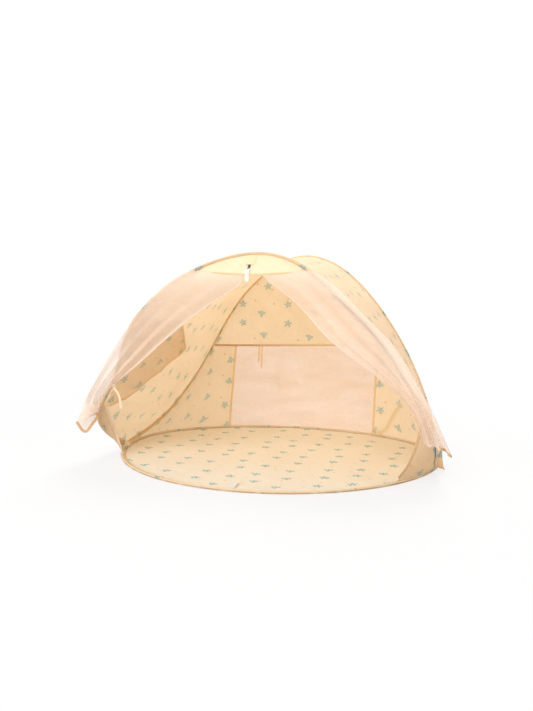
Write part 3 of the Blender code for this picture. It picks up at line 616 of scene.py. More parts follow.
def creases(tree, vector, scale):
    """Creases left by folding: the sharp valleys of a warped noise, over its soft swells. It gives a height."""
    noise = noise_at(tree, vector, scale, 3.0, Distortion=0.8)
    ridge = maths(tree, "ABSOLUTE", maths(tree, "SUBTRACT", noise, 0.5))
    ridge = maths(tree, "POWER", maths(tree, "MULTIPLY", ridge, 2.0), 0.5)
    return (maths(tree, "MULTIPLY_ADD", ridge, 0.5, noise),)


def rotated(tree, x, y, angle):
    """The x and y sockets of a point turned by an angle."""
    cosine = maths(tree, "COSINE", angle)
    sine = maths(tree, "SINE", angle)
    across = maths(tree, "SUBTRACT", maths(tree, "MULTIPLY", x, cosine), maths(tree, "MULTIPLY", y, sine))
    up = maths(tree, "ADD", maths(tree, "MULTIPLY", x, sine), maths(tree, "MULTIPLY", y, cosine))
    return across, up


def tossed_cell(tree, vector, cell, seed, wander, turn):
    """A point's place in its own cell, in cells: every other column drops by half a cell, and each cell
    has a shift and a turn of its own. It also gives the cell's random number."""
    scaled = vector_maths(tree, "MULTIPLY_ADD", vector, (1.0 / cell,) * 3, (seed, seed * 0.37, 0.0))
    parts = add_node(tree, "SeparateXYZ", {0: scaled})
    odd = maths(tree, "MODULO", maths(tree, "FLOOR", parts.outputs[0]), 2.0)
    dropped = maths(tree, "MULTIPLY_ADD", odd, 0.5, parts.outputs[1])
    scaled = add_node(tree, "CombineXYZ", {0: parts.outputs[0], 1: dropped}).outputs[0]
    index = vector_maths(tree, "FLOOR", scaled)
    inside = vector_maths(tree, "SUBTRACT", scaled, index)
    draw = add_node(tree, "TexWhiteNoise", {"Vector": index}, noise_dimensions="3D")
    shift = vector_maths(tree, "MULTIPLY_ADD", draw.outputs["Color"], (wander,) * 3, (0.5 - wander / 2,) * 3)
    place = add_node(tree, "SeparateXYZ", {0: vector_maths(tree, "SUBTRACT", inside, shift)})
    chance = add_node(tree, "SeparateXYZ", {0: draw.outputs["Color"]})
    angle = maths(tree, "MULTIPLY_ADD", chance.outputs[2], 2.0 * turn, -turn)
    return (*rotated(tree, place.outputs[0], place.outputs[1], angle), chance.outputs[0])


def distance_of(tree, x, y):
    """How far a point is from the origin, from its x and y sockets."""
    return maths(tree, "SQRT", maths(tree, "ADD", maths(tree, "MULTIPLY", x, x), maths(tree, "MULTIPLY", y, y)))


def shell_mask(tree, x, y):
    """A ribbed fan shell: a sector round its hinge with a wavy rim, cut into ribs, and a small hinge."""
    up = maths(tree, "ADD", y, 0.10)
    radius = distance_of(tree, x, up)
    angle = maths(tree, "ARCTAN2", x, up)
    ribs = maths(tree, "COSINE", maths(tree, "MULTIPLY", angle, 11.0))
    rim = maths(tree, "SUBTRACT", radius, maths(tree, "MULTIPLY", ribs, 0.014))
    sector = soft_mask(tree, maths(tree, "ABSOLUTE", angle), 0.98, 0.03)
    fan = maths(tree, "MULTIPLY", soft_mask(tree, rim, 0.270, 0.012), sector)
    gaps = soft_mask(tree, maths(tree, "MULTIPLY", ribs, -1.0), 0.60, 0.25)
    hinge = soft_mask(tree, radius, 0.055, 0.012)
    return maths(tree, "MAXIMUM", maths(tree, "MULTIPLY", fan, gaps), hinge)


def star_mask(tree, x, y):
    """A five-armed sea star: a disc whose radius swells five times round, with a pale dot at its heart."""
    radius = distance_of(tree, x, y)
    angle = maths(tree, "ARCTAN2", x, y)
    arms = maths(tree, "COSINE", maths(tree, "MULTIPLY", angle, 5.0))
    rim = maths(tree, "SUBTRACT", radius, maths(tree, "MULTIPLY", arms, 0.062))
    heart = maths(tree, "SUBTRACT", 1.0, soft_mask(tree, radius, 0.030, 0.010))
    return maths(tree, "MULTIPLY", soft_mask(tree, rim, 0.136, 0.012), heart)


def tossed_print(tree, vector):
    """The tossed print: fan shells and sea stars on one grid of cells, and small dots on another. It gives a
    mask of each."""
    x, y, chance = tossed_cell(tree, vector, MOTIF_CELL, 3.3, 0.34, 0.25)
    x, y = maths(tree, "MULTIPLY", x, 1.12), maths(tree, "MULTIPLY", y, 1.26)
    pick = maths(tree, "GREATER_THAN", chance, SHARE_OF_SHELLS)
    masks = {0: pick, 2: shell_mask(tree, x, y), 3: star_mask(tree, x, y)}
    motif = add_node(tree, "Mix", masks, data_type="FLOAT").outputs[0]
    x, y, chance = tossed_cell(tree, vector, DOT_CELL, 7.9, 0.60, math.pi)
    dots = soft_mask(tree, distance_of(tree, x, y), 0.060, 0.012)
    return motif, maths(tree, "MULTIPLY", dots, maths(tree, "GREATER_THAN", chance, SHARE_WITHOUT_DOT))


def use_group(tree, fill, outputs, **sockets):
    """The outputs of a shared group, placed with its sockets given values or linked."""
    made = add_node(tree, "Group", node_tree=shared_group(fill, list(sockets), outputs))
    give(tree, made, sockets)
    return made.outputs


def empty_material(name):
    """A material with nothing but its output, and that output's node."""
    made = bpy.data.materials.new(name)
    made.use_nodes = True
    tree = made.node_tree
    tree.nodes.clear()
    return made, tree, tree.nodes.new("ShaderNodeOutputMaterial")


def cloth_material(
    name, ground, through, ink=0.0, opacity=1.0, threads=3400.0, crease=7.0, deep=0.010, stitch_at=(),
    stripe=None, fade=None, tone_and_fold_shade_streaks=(3.0, 3.0, 1.0),
):
    """Thin woven cloth: weave, slubs, creases and a warmer streaked tone, a share of its light let through, and
    the print in its ink, rows of stitches, a painted shade line or a fade along it where asked. On the
    curtains' voile the streaked tone is painted fold shade. A low opacity makes it a voile. The ground, the
    shade line and the fade name one of the tent's colours."""
    made, tree, output = empty_material(name)
    colours = bpy.context.scene.tent_colours
    ground = getattr(colours, ground)[:]
    uv = add_node(tree, "UVMap", uv_map="cloth").outputs["UV"]
    relief, tone = use_group(tree, weave, ("Height", "Tone"), Vector=uv, Threads=threads)
    folds = use_group(tree, creases, ("Height",), Vector=uv, Scale=crease)[0]
    # The streaked tone: a noise mixes a paler and a warmer copy of the ground. On the curtains' voile it is
    # drawn into upright bands of painted fold shade, with the paler bands as painted highlights and the warmer
    # ones as painted shade. On the window voile it runs in long level bands. On the other cloths it is the
    # cloth's own colour, varying at random.
    tone_and_fold_shade = noise_at(tree, vector_maths(tree, "MULTIPLY", uv, (*tone_and_fold_shade_streaks[:2], 1.0)))
    faded = tuple(min(1.0, 1.03 * c + 0.01) for c in ground)
    warmer = tuple(c * (1.0 - tone_and_fold_shade_streaks[2] * f) for c, f in zip(ground, WARMTH))
    colour = blend_colours(tree, tone_and_fold_shade, faded, warmer)
    place = add_node(tree, "SeparateXYZ", {0: uv})
    if ink:
        motif, dot = use_group(tree, tossed_print, ("Motif", "Dot"), Vector=uv)
        worn = maths(tree, "MULTIPLY_ADD", tone_and_fold_shade, 0.35, ink - 0.175)
        colour = blend_colours(tree, maths(tree, "MULTIPLY", dot, DOT_INK), colour, colours.dot[:])
        colour = blend_colours(tree, maths(tree, "MULTIPLY", motif, worn), colour, colours.motif[:])
    if fade:
        paler, first, last = fade
        there = ramp(tree, place.outputs[0], first, last)
        colour = blend_colours(tree, there, colour, getattr(colours, paler)[:])
    tones = add_node(tree, "CombineXYZ", {k: tone for k in range(3)}).outputs[0]
    colour = blend_colours(tree, 1.0, colour, tones, "MULTIPLY")
    height = maths(tree, "MULTIPLY_ADD", relief, 0.010, folds)
    # A painted shade line: a darker line laid into the colour along a sleeve, where shade falls.
    if stripe:
        painted_shade = stripe_mask(tree, place, *stripe[1:])
        colour = blend_colours(tree, painted_shade, colour, getattr(colours, stripe[0])[:])
    if stitch_at:
        colour, height = add_stitches(tree, place, stitch_at, colour, height)
    bump = add_node(tree, "Bump", {"Strength": 0.55, "Distance": deep, "Height": height}).outputs[0]
    shader = add_node(tree, "BsdfPrincipled", {
        "Base Color": colour, "Roughness": 0.86, "Normal": bump,
        "Sheen Weight": 0.12, "Sheen Roughness": 0.5, "Specular IOR Level": 0.25,
    })
    if opacity < 1.0:
        open_weave = maths(tree, "MULTIPLY_ADD", tone, 0.5, opacity - 0.5)
        bunched = maths(tree, "MULTIPLY_ADD", folds, 0.22, -0.17)
        tree.links.new(maths(tree, "ADD", open_weave, bunched), shader.inputs["Alpha"])
    glow = add_node(tree, "BsdfTranslucent", {"Color": colour, "Normal": bump})
    mixed = add_node(tree, "MixShader", {0: through, 1: shader.outputs[0], 2: glow.outputs[0]})
    tree.links.new(mixed.outputs[0], output.inputs["Surface"])
    return made


def ramp(tree, value, first, last, low=0.0):
    """A straight rise from a low level to one, between two values."""
    levels = {"Value": value, "From Min": first, "From Max": last, "To Min": low}
    return add_node(tree, "MapRange", levels).outputs["Result"]


def stripe_mask(tree, place, across, reach, first, last):
    """A painted shade line at a distance across the UV, broken by noise, that comes in along it."""
    away = maths(tree, "ABSOLUTE", maths(tree, "SUBTRACT", place.outputs[1], across))
    run = maths(tree, "MULTIPLY", place.outputs[0], 14.0)
    broken = add_node(tree, "TexNoise", {"W": run, "Scale": 1.0, "Detail": 2.0}, noise_dimensions="1D")
    comes = ramp(tree, place.outputs[0], first, last)
    line = maths(tree, "MULTIPLY", soft_mask(tree, away, reach, 0.0006), comes)
    return maths(tree, "MULTIPLY", line, ramp(tree, broken.outputs[0], 0.32, 0.46, 0.25))


def add_stitches(tree, place, rows, colour, height):
    """Lines of stitches at the given distances across the UV, dashed along it: a colour and a height."""
    wave = maths(tree, "SINE", maths(tree, "MULTIPLY", place.outputs[0], 2.0 * math.pi / STITCH_PITCH))
    dash = maths(tree, "GREATER_THAN", wave, -0.3)
    mask = 0.0
    for row in rows:
        away = maths(tree, "ABSOLUTE", maths(tree, "SUBTRACT", place.outputs[1], row))
        line = maths(tree, "MULTIPLY", soft_mask(tree, away, 0.0005, 0.0002), dash)
        mask = maths(tree, "MAXIMUM", line, mask)
    thread = bpy.context.scene.tent_colours.thread[:]
    return blend_colours(tree, mask, colour, thread), maths(tree, "MULTIPLY_ADD", mask, 0.08, height)


def metal_material(name, colour, rough, metallic=1.0):
    """Metal with fine grain and smudges, on Object coordinates. The colour is one of the tent's, by name."""
    made, tree, output = empty_material(name)
    colour = getattr(bpy.context.scene.tent_colours, colour)[:]
    where = add_node(tree, "TexCoord").outputs["Object"]
    grain = noise_at(tree, where, 800.0, 4.0)
    smudge = noise_at(tree, where, 260.0)
    darker = tuple(0.72 * c for c in colour)
    tint = blend_colours(tree, grain, darker, tuple(min(1.0, 1.15 * c) for c in colour))
    dull = maths(tree, "MULTIPLY_ADD", smudge, 0.25, rough - 0.10)
    bump = add_node(tree, "Bump", {"Strength": 0.25, "Distance": 0.0002, "Height": grain}).outputs[0]
    shader = add_node(tree, "BsdfPrincipled", {
        "Base Color": tint, "Roughness": dull, "Metallic": metallic, "Normal": bump,
    })
    tree.links.new(shader.outputs[0], output.inputs["Surface"])
    return made


TAPE = dict(crease=60.0, deep=0.002, threads=5200.0)
SEWN_TAPE = dict(TAPE, stitch_at=(0.0045,))
HEM = dict(SEWN_TAPE, ground="hem", through=0.15, ink=0.70)
SLEEVE = dict(crease=30.0, deep=0.004)
CLOTHS = {
    "printed cloth": dict(ground="ground", through=0.56, ink=0.46),
    "floor cloth": dict(ground="floor", through=0.10, ink=0.84, crease=9.0, deep=0.006),
    # The gussets' cloth is a darker copy of the printed cloth: painted shade for the gussets and the foot tab.
    "gusset cloth": dict(ground="gusset", through=0.45, ink=0.70, crease=14.0, deep=0.006),
    "rear sleeve cloth": dict(SLEEVE, ground="floor_sleeve", through=0.65, ink=0.60),
    # The floor sleeve's thin line in the hem's colour, all round the tube's outer side, is painted shade under
    # the roll.
    "floor sleeve cloth": dict(
        SLEEVE, ground="floor_sleeve", through=0.40, ink=0.60, stripe=("hem", 0.0200, 0.0024, -2.0, -1.0)
    ),
    # The front sleeve's grey-blue line along it, from past the top down the right side, is painted shade where
    # the hoop shows through the curtain.
    "front sleeve cloth": dict(
        SLEEVE, ground="sleeve", through=0.30, ink=0.70, stripe=("stripe", 0.0265, 0.0040, 1.66, 1.80)
    ),
    # The curtains' voile: its tone is drawn into upright bands of painted fold shade, paler for painted
    # highlights and warmer for painted shade.
    "voile": dict(
        ground="curtain", through=0.15, opacity=0.46, crease=4.0, deep=0.008, tone_and_fold_shade_streaks=(15.0, 1.6, 2.0)
    ),
    "window voile": dict(ground="voile", through=0.36, opacity=0.50, crease=6.0, tone_and_fold_shade_streaks=(2.2, 13.0, 2.6)),
    "zip voile": dict(ground="curtain", through=0.22, opacity=0.62, crease=60.0, deep=0.002),
    "plain cloth": dict(ground="plain", through=0.40, crease=12.0, deep=0.006),
    "patch cloth": dict(ground="patch", through=0.30, crease=14.0, deep=0.004, stitch_at=(0.0030,)),
    "printed binding": dict(SEWN_TAPE, ground="binding", through=0.60, ink=0.55),
    "faded binding": dict(SEWN_TAPE, ground="hem", through=0.30, ink=0.70, fade=("binding", 0.08, 0.50)),
    "hem binding": HEM,
    "left hem binding": dict(HEM, fade=("peach_tape", 0.100, 0.070)),
    "right hem binding": dict(HEM, fade=("peach_tape", 0.080, 0.105)),
    "window tape": dict(SEWN_TAPE, ground="tie", through=0.80, ink=0.40),
    "tie tape": dict(TAPE, ground="tie", through=0.70),
    "peach tape": dict(TAPE, ground="peach_tape", through=0.25),
    "white tape": dict(TAPE, ground="white_tape", through=0.20),
}
METALS = {
    "spring wire": dict(colour="wire", rough=0.34),
    "ferrule steel": dict(colour="ferrule", rough=0.30),
    "zip enamel": dict(colour="enamel", rough=0.32, metallic=0.7),
}


def finish_of(name):
    """One of the tent's materials, made when it is first asked for."""
    full = "tent " + name
    if full in bpy.data.materials:
        return bpy.data.materials[full]
    if name in CLOTHS:
        return cloth_material(full, **CLOTHS[name])
    return metal_material(full, **METALS[name])


# The surfaces

def floor_grid():
    """The floor sheet: a square grid bent to a disc, where each coordinate is cut by the root of one less
    half the other's square, and stretched to the ring's two half-ellipses. It lies on the ground with low
    swells, and rises to the ring's slit over its rim."""
    sizes = bpy.context.scene.tent_sizes
    line = np.linspace(-1.0, 1.0, 151)
    u, v = np.meshgrid(line, line)
    x = u * np.sqrt(1.0 - v * v / 2)
    y = v * np.sqrt(1.0 - u * u / 2)
    depth = np.where(y > 0.0, FLOOR_BACK_DEPTH, FLOOR_FRONT_DEPTH) - FLOOR_INSET
    x_m = x * (FLOOR_HALF_WIDTH - FLOOR_INSET)
    y_m = y * depth
    rise = smooth_share((np.hypot(x, y) - 0.955) / 0.045)
    swells = np.maximum(ripples(x_m, y_m, 11, 0.30), 0.0) ** 1.3
    fine = 0.25 * np.abs(ripples(x_m, y_m, 12, 0.085))
    height = between(FLOOR_LIFT + sizes.floor_swell * (swells + fine), FLOOR_RING_Z, rise)
    return np.stack([x_m, y_m, height], axis=2)


def canopy_surface(alongs, backs, lift=0.0):
    """The canopy by its place along the arches and from front to rear: straight lines between the two
    seams, drawn towards the tent's heart by a parabola, and moved inside by a lift."""
    index = np.arange(ARCH_STEPS + 1) / ARCH_STEPS
    seam = bpy.context.scene.tent_sizes.sleeve_radius - 0.0005
    flat = np.ravel(alongs)
    ends = []
    for line, other in ((FRONT_ARCH, REAR_ARCH), (REAR_ARCH, FRONT_ARCH)):
        ends.append(at_places(flat, index, inset(line, other, tangents_of(line), seam)))
    front, rear = ends
    back = np.ravel(backs)[:, None]
    span = np.linalg.norm(rear - front, axis=1, keepdims=True)
    middle = (front + rear) / 2
    heart = np.stack([0.35 * middle[:, 0], np.full(len(middle), 0.10), 0.35 * middle[:, 2]], axis=1)
    draw = CANOPY_DRAW_IN * span * 4.0 * back * (1.0 - back)
    points = between(front, rear, back) + draw * unit(heart - middle)
    grid = points.reshape(*np.shape(alongs), 3)
    if lift:
        grid = grid + lift * inward_normals(grid)
    return grid


def inward_normals(grid):
    """A grid's normals, turned to point into the tent."""
    out = grid_normals(grid)
    inside = np.sum(out * (np.array([0.0, 0.1, 0.3]) - grid), axis=-1, keepdims=True) > 0.0
    return np.where(inside, out, -out)


def canopy_grid():
    """The canopy with its swells, and the puckers along both seams."""
    sizes = bpy.context.scene.tent_sizes
    backs, alongs = np.meshgrid(np.linspace(0.0, 1.0, 57), np.linspace(0.004, 0.996, 421), indexing="ij")
    grid = canopy_surface(alongs, backs)
    uv = grid_uv(grid)
    u, v = uv[..., 0], uv[..., 1]
    edge = np.minimum(v - v[:1], v[-1:] - v)
    hold = smooth_share(edge / 0.12)
    waves = sizes.canopy_swell * hold * ripples(v, u, 21, 0.20, stretch=2.2)
    waves = waves + 0.0012 * puckers(u, np.maximum(edge, 0.0), 22) * smooth_share(edge / 0.006)
    return grid + waves[..., None] * inward_normals(grid), uv


def layer_grid():
    """The second layer inside the left wall, hung a little off the canopy and waving at its free edges."""
    down = np.linspace(0.0, 1.0, 49)[:, None]
    steps = np.linspace(0.0, 1.0, 73)
    knots = np.linspace(0.0, 1.0, len(LAYER_TOP))
    places = []
    for k in range(2):
        top = np.interp(steps, knots, [place[k] for place in LAYER_TOP])
        bottom = np.interp(steps, knots, [place[k] for place in LAYER_BOTTOM])
        places.append(between(top, bottom, down))
    grid = canopy_surface(places[0], places[1], LAYER_LIFT)
    uv = grid_uv(grid)
    free = down * steps[None] ** 0.5
    wave = 0.0035 * free * (1.0 + ripples(uv[..., 0], uv[..., 1], 31, 0.11))
    return grid + wave[..., None] * inward_normals(grid), uv


def seam_at(x):
    """Points of the back wall's level seam."""
    x = np.atleast_1d(x).astype(float)
    y = BACK_SEAM_Y + BACK_SEAM_BOW * (x / BACK_SEAM_END_X) ** 2
    return np.stack([x, y, BACK_SEAM_Z + BACK_SEAM_RISE * x], axis=1)


def arch_above_seam(rise):
    """The rear arch from one end of the seam over the top to the other, down to a rise over the seam."""
    over = REAR_ARCH[:, 2] - seam_at(REAR_ARCH[:, 0])[:, 2] - rise
    held = np.flatnonzero(over > 0.0)
    ends = []
    for inner, outer in ((held[0], held[0] - 1), (held[-1], held[-1] + 1)):
        share = over[inner] / (over[inner] - over[outer])
        ends.append(between(REAR_ARCH[inner], REAR_ARCH[outer], share))
    return np.vstack([ends[0], REAR_ARCH[held], ends[1]])


def upper_panel_grid():
    """The back wall over the seam: upright lines from the rear arch to the seam, with soft drapes that
    fall from the arch and puckers under its sleeve."""
    sizes = bpy.context.scene.tent_sizes
    top = arch_above_seam(CORNER_RISE)
    heart = np.array([0.0, BACK_SEAM_Y, BACK_SEAM_Z])
    head = inset(top, heart, tangents_of(top), sizes.sleeve_radius - 0.0004)
    foot = seam_at(head[:, 0])
    grid = ruled(head, foot, 61)
    edge = lengths_from_top(grid)
    under = lengths_from_top(grid[::-1])[::-1]
    run = np.broadcast_to(lengths_along(head), edge.shape)
    drape = 0.0045 * ripples(grid[..., 0], grid[..., 2], 41, 0.16, stretch=0.6)
    drape = drape * smooth_share(edge / 0.10) * smooth_share(under / 0.06)
    drape = drape + 0.0012 * puckers(run, edge, 42, 0.034) * smooth_share(edge / 0.006)
    grid[..., 1] += drape
    return grid, grid[..., ::2]


def lower_wall_columns(x, rows=6):
    """Upright lines of the back wall from its seam down to the floor's ring, as (rows, columns, 3)."""
    angles = np.arccos(np.asarray(x) / FLOOR_HALF_WIDTH)
    ring = ring_curve(angles)
    head = seam_at(x)
    return ruled(head, inset(ring, head, ring_tangent(angles), RING_INSET), rows)


def window_grid():
    """The sheer window: the lower wall with long level wrinkles, slack towards its lower corners."""
    sizes = bpy.context.scene.tent_sizes
    grid = lower_wall_columns(np.linspace(WINDOW_LEFT_X, WINDOW_RIGHT_X, 161), 97)
    uv = grid_uv(grid)
    u, v = uv[..., 0], uv[..., 1]
    hold = smooth_share((v - v[0]) / 0.05) * smooth_share((v[-1] - v) / 0.03)
    hold = hold * smooth_share(u / 0.03) * smooth_share((u.max() - u) / 0.03)
    slack = 0.4 + 1.2 * smooth_share((v - v[0]) / 0.5)
    wrinkle = ripples(u, v, 51, 0.065, stretch=5.0) + 0.6 * ripples(u, v, 52, 0.26, stretch=1.5)
    grid[..., 1] += sizes.window_wrinkle * hold * slack * wrinkle
    return grid, uv


def side_panel_grid(side, edge_x, seed):
    """A lower side panel: from the seam and the rear arch down to the floor's ring, from the window's
    edge round to the arch's foot, with drapes that run down it."""
    order = slice(None) if side > 0 else slice(None, None, -1)
    arch = REAR_ARCH[order]
    tangents = tangents_of(arch)
    seam_heights = seam_at(arch[:, 0])[:, 2]
    below = np.flatnonzero((side * arch[:, 0] > 0.3) & (arch[:, 2] < seam_heights))[:-4]
    end_x = abs(arch_above_seam(0.0)[0 if side < 0 else -1, 0]) - 0.006
    seam_x = np.linspace(edge_x, side * end_x, 30)
    top = np.vstack([seam_at(seam_x), arch[below]])
    share = lengths_along(top) / lengths_along(np.vstack([top, arch[-1:]]))[-1]
    start = math.acos(edge_x / FLOOR_HALF_WIDTH)
    end = FOOT_ANGLE if side > 0 else math.pi - FOOT_ANGLE
    angles = start + share * (end - start)
    ring = ring_curve(angles)
    foot = inset(ring, top, ring_tangent(angles), RING_INSET)
    head = top.copy()
    head[30:] = inset(arch[below], ring[30:], tangents[below], ARCH_INSET)
    even = np.linspace(share[0], share[-1], 121)
    grid = ruled(at_places(even, share, head), at_places(even, share, foot), 57)
    uv = grid_uv(grid)
    u, v = uv[..., 0], uv[..., 1]
    hold = smooth_share((v - v[0]) / 0.04) * smooth_share((v[-1] - v) / 0.04)
    drape = 0.004 * hold * ripples(v, u, seed, 0.13, stretch=2.5)
    drape = drape * smooth_share(u / 0.04)
    return grid + drape[..., None] * grid_normals(grid), uv


def valance_edges():
    """The plain panel's top and bottom edges, as far out as it has any height."""
    edge_x = FRONT_ARCH[:, 0]
    sag = VALANCE_SAG * (1.0 - (edge_x / VALANCE_HALF_WIDTH) ** 2)
    foot = np.stack([edge_x, np.full_like(edge_x, VALANCE_EDGE_Y), VALANCE_EDGE_Z - sag], axis=1)
    held = np.flatnonzero(FRONT_ARCH[:, 2] > foot[:, 2] + 0.014)
    head = inset(FRONT_ARCH, foot, tangents_of(FRONT_ARCH), PANEL_INSET)
    return head[held], foot[held]


def valance_grid():
    """The plain panel: from the front arch down to its own level edge, a little full in the middle."""
    head, foot = valance_edges()
    grid = ruled(head, foot, 33)
    edge = lengths_from_top(grid)
    under = lengths_from_top(grid[::-1])[::-1]
    run = np.broadcast_to(lengths_along(head), edge.shape)
    held = smooth_share(edge / 0.03) * smooth_share(under / 0.03)
    full = 0.0022 * ripples(run, edge, 61, 0.10, stretch=0.8) * held
    full = full + 0.0009 * puckers(run, edge, 62, 0.026, 0.016) * smooth_share(edge / 0.005)
    return grid + full[..., None] * grid_normals(grid)


def valance_frame(x, share_down):
    """A point of the plain panel, with its downhill direction and its outward normal there."""
    head, foot = valance_edges()
    top, bottom = (at_places([x], edge[:, 0], edge)[0] for edge in (head, foot))
    down = unit(bottom - top)
    return top + share_down * (bottom - top), down, np.cross((1.0, 0.0, 0.0), -down)


def curtain_grid(edges, droop, seed, curl, cuff=None):
    """A curtain between its two edges: three main folds that deepen towards the hem, finer pleats
    between them, wrinkles, and a hem that curls back under or is drawn to a cuff's own line."""
    sizes = bpy.context.scene.tent_sizes
    edges = np.array(edges)
    rows = 141
    places = np.linspace(0.0, len(edges) - 1.0, rows)
    outer = natural_spline(edges[:, 0], places)
    inner = natural_spline(edges[:, 1], places)
    across = np.linspace(0.0, 1.0, 161)[None, :]
    down = np.linspace(0.0, 1.0, rows)[:, None]
    sheet = between(outer[:, None], inner[:, None], across[..., None])
    depth = CURTAIN_FOLD_TOP * down + CURTAIN_FOLD_HEM * down**3
    wander = 0.10 * ripples(down, across, seed, 1.4)
    folds = depth * np.sin(2.0 * math.pi * CURTAIN_FOLDS * across)
    pleats = np.sin(2.0 * math.pi * (2.6 * across + wander * 4.0) + 1.1)
    pleats = sizes.pleat_depth * (0.3 + 0.7 * down) * pleats
    fine = 0.16 * sizes.pleat_depth * down * np.sin(2.0 * math.pi * (7.0 * across + wander * 7.0))
    hold = smooth_share(across / 0.05) * smooth_share((1.0 - across) / 0.04)
    forward = folds + hold * (pleats + fine)
    sheet[..., 1] -= forward
    bulge = (4.0 * across * (1.0 - across) * down**6)[..., None] * np.array(droop)
    sheet = sheet + bulge
    x = sheet[..., 0]
    sewn = (1.0 - smooth_share(down / 0.12)) * smooth_share((VALANCE_HALF_WIDTH + 0.010 - np.abs(x)) / 0.030)
    edge_z = VALANCE_EDGE_Z - VALANCE_SAG * (1.0 - (x / VALANCE_HALF_WIDTH) ** 2)
    row_z = edge_z[:1] + 0.0030 + sheet[..., 2] - sheet[:1, :, 2]
    row_y = VALANCE_EDGE_Y + 0.0035 + sheet[..., 1] - sheet[:1, :, 1]
    sheet[..., 1] += sewn * (row_y - sheet[..., 1])
    sheet[..., 2] += sewn * (row_z - sheet[..., 2])
    sheet[..., 1] += curl * smooth_share((down - 0.90) / 0.10) * smooth_share(across / 0.1)
    if cuff:
        sheet = roll_up(sheet, outer, inner, down, across, np.array(cuff))
    return sheet, grid_uv(sheet)


def roll_up(sheet, outer, inner, down, across, cuff):
    """Rolls a curtain's lower end. Past a turning place, which moves in from the inner edge on the way
    down, the cloth goes back behind itself by a sine, and its last rows are drawn to the cuff's line."""
    wound = smooth_share((down - 0.72) / 0.26)
    turn = 1.0 - 0.5 * wound
    flat = between(outer[:, None], inner[:, None], across[..., None])
    place = 1.0 - np.sqrt(((across - turn) / turn) ** 2 + (0.08 * wound) ** 2)
    rolled = between(outer[:, None], inner[:, None], place[..., None])
    rolled = rolled + (1.0 - 0.7 * wound[..., None]) * (sheet - flat)
    behind = wound * (2.0 * smooth_share((across - turn) / 0.16 + 0.5) - 1.0)
    rolled[..., 1] += 0.016 * behind * np.sin(math.pi * np.clip(place, 0.0, 1.0))
    line = natural_spline(cuff, np.linspace(0.0, len(cuff) - 1.0, across.size))
    drawn = smooth_share((down - 0.80) / 0.20)[..., None]
    return rolled + drawn * (line - rolled[-1])


def gusset_grid(side, reach, seed):
    """A gusset: from the front arch's foot up the arch, and from the foot round the ring, with its free
    edge cut in and soft drapes between."""
    up_arch, round_ring, cut_in = reach
    arch = FRONT_ARCH if side < 0 else FRONT_ARCH[::-1]
    lengths = lengths_along(arch)
    run = np.linspace(0.014, up_arch, 61)
    tangent = at_places(run, lengths, tangents_of(arch))
    head = along(arch, run)
    angles = ring_angles_from_foot(side, np.linspace(0.008, round_ring, 61))
    ring = ring_curve(angles)
    top = inset(head, ring, unit(tangent), ARCH_INSET)
    foot = inset(ring, head, ring_tangent(angles), RING_INSET)
    rows = ruled(top, foot, 49)
    share = np.linspace(0.0, 1.0, 49)[:, None, None]
    back = np.linspace(0.0, 1.0, 61)[None, :, None]
    corner = np.array([side * FOOT_X, FOLD_AXIS_Y, FOLD_AXIS_Z])
    hold = 4.0 * share * (1.0 - share)
    grid = rows + cut_in * hold * back * unit(corner - rows)
    uv = grid_uv(grid)
    drape = 0.004 * hold[..., 0] * back[..., 0] * ripples(uv[..., 0], uv[..., 1], seed, 0.12)
    return grid + drape[..., None] * grid_normals(grid), uv


def ring_angles_from_foot(side, distances):
    """The ring's angles at distances from a foot, going round towards the front."""
    fine = np.linspace(FOOT_ANGLE, FOOT_ANGLE - 1.2, 200)
    if side < 0:
        fine = math.pi - fine
    return np.interp(distances, lengths_along(ring_curve(fine)), fine)


def binding(
    name, edge, beyond, width, stands_for, body=None, band=None, material="printed binding",
    slot="brown_binding", thickness=0.0024,
):
    """A folded tape over a cloth's edge: it starts inside the edge and goes on past it."""
    path = edge - BINDING_OVERLAP * beyond
    section = tape_section(width + BINDING_OVERLAP, thickness, start=0.0)
    piece = swept_piece(name, path, beyond, section, finish_of(material))
    return settle(piece, stands_for, body, band)


def tape_on_wall(name, first, second, stands_for, material, lift=0.0010, thickness=0.0012):
    """A tape laid flat on the inner face of a wall, between two lines of that wall's points."""
    across = second - first
    out = unit(np.cross(across, tangents_of(first)))
    out = np.where(out[:, 1:2] > 0.0, -out, out)
    middle = (first + second) / 2 + (lift + thickness / 2) * out
    width = float(np.linalg.norm(across, axis=1).mean())
    piece = swept_piece(name, middle, across, tape_section(width, thickness), finish_of(material))
    return settle(piece, stands_for, "rear_half")


# What a user would change

def length_property(name, description, default):
    """A length of the tent that a user can change."""
    return bpy.props.FloatProperty(
        name=name, description=description, default=default, subtype="DISTANCE", unit="LENGTH"
    )


def colour_property(name, description, default):
    """A colour of the tent that a user can change."""
    return bpy.props.FloatVectorProperty(
        name=name, description=description, default=default, subtype="COLOR", size=3, min=0.0, max=1.0
    )


class TentSizes(bpy.types.PropertyGroup):
    """Sizes of the cloth's finer shapes."""

    sleeve_radius: length_property("Sleeve radius", "Outer radius of the arches' sleeves", 0.0070)
    ring_sleeve_radius: length_property(
        "Floor sleeve radius", "Outer radius of the sleeve round the floor", 0.0064
    )
    cloth: length_property("Cloth", "Thickness of the printed and plain cloth", 0.0008)
    floor_swell: length_property("Floor swells", "Height of the floor sheet's low swells", 0.0030)
    canopy_swell: length_property("Canopy swells", "Depth of the canopy's soft waves", 0.0050)
    window_wrinkle: length_property("Window wrinkles", "Depth of the window's level wrinkles", 0.0042)
    pleat_depth: length_property("Pleats", "Depth of the curtains' fine pleats at the hem", 0.0032)


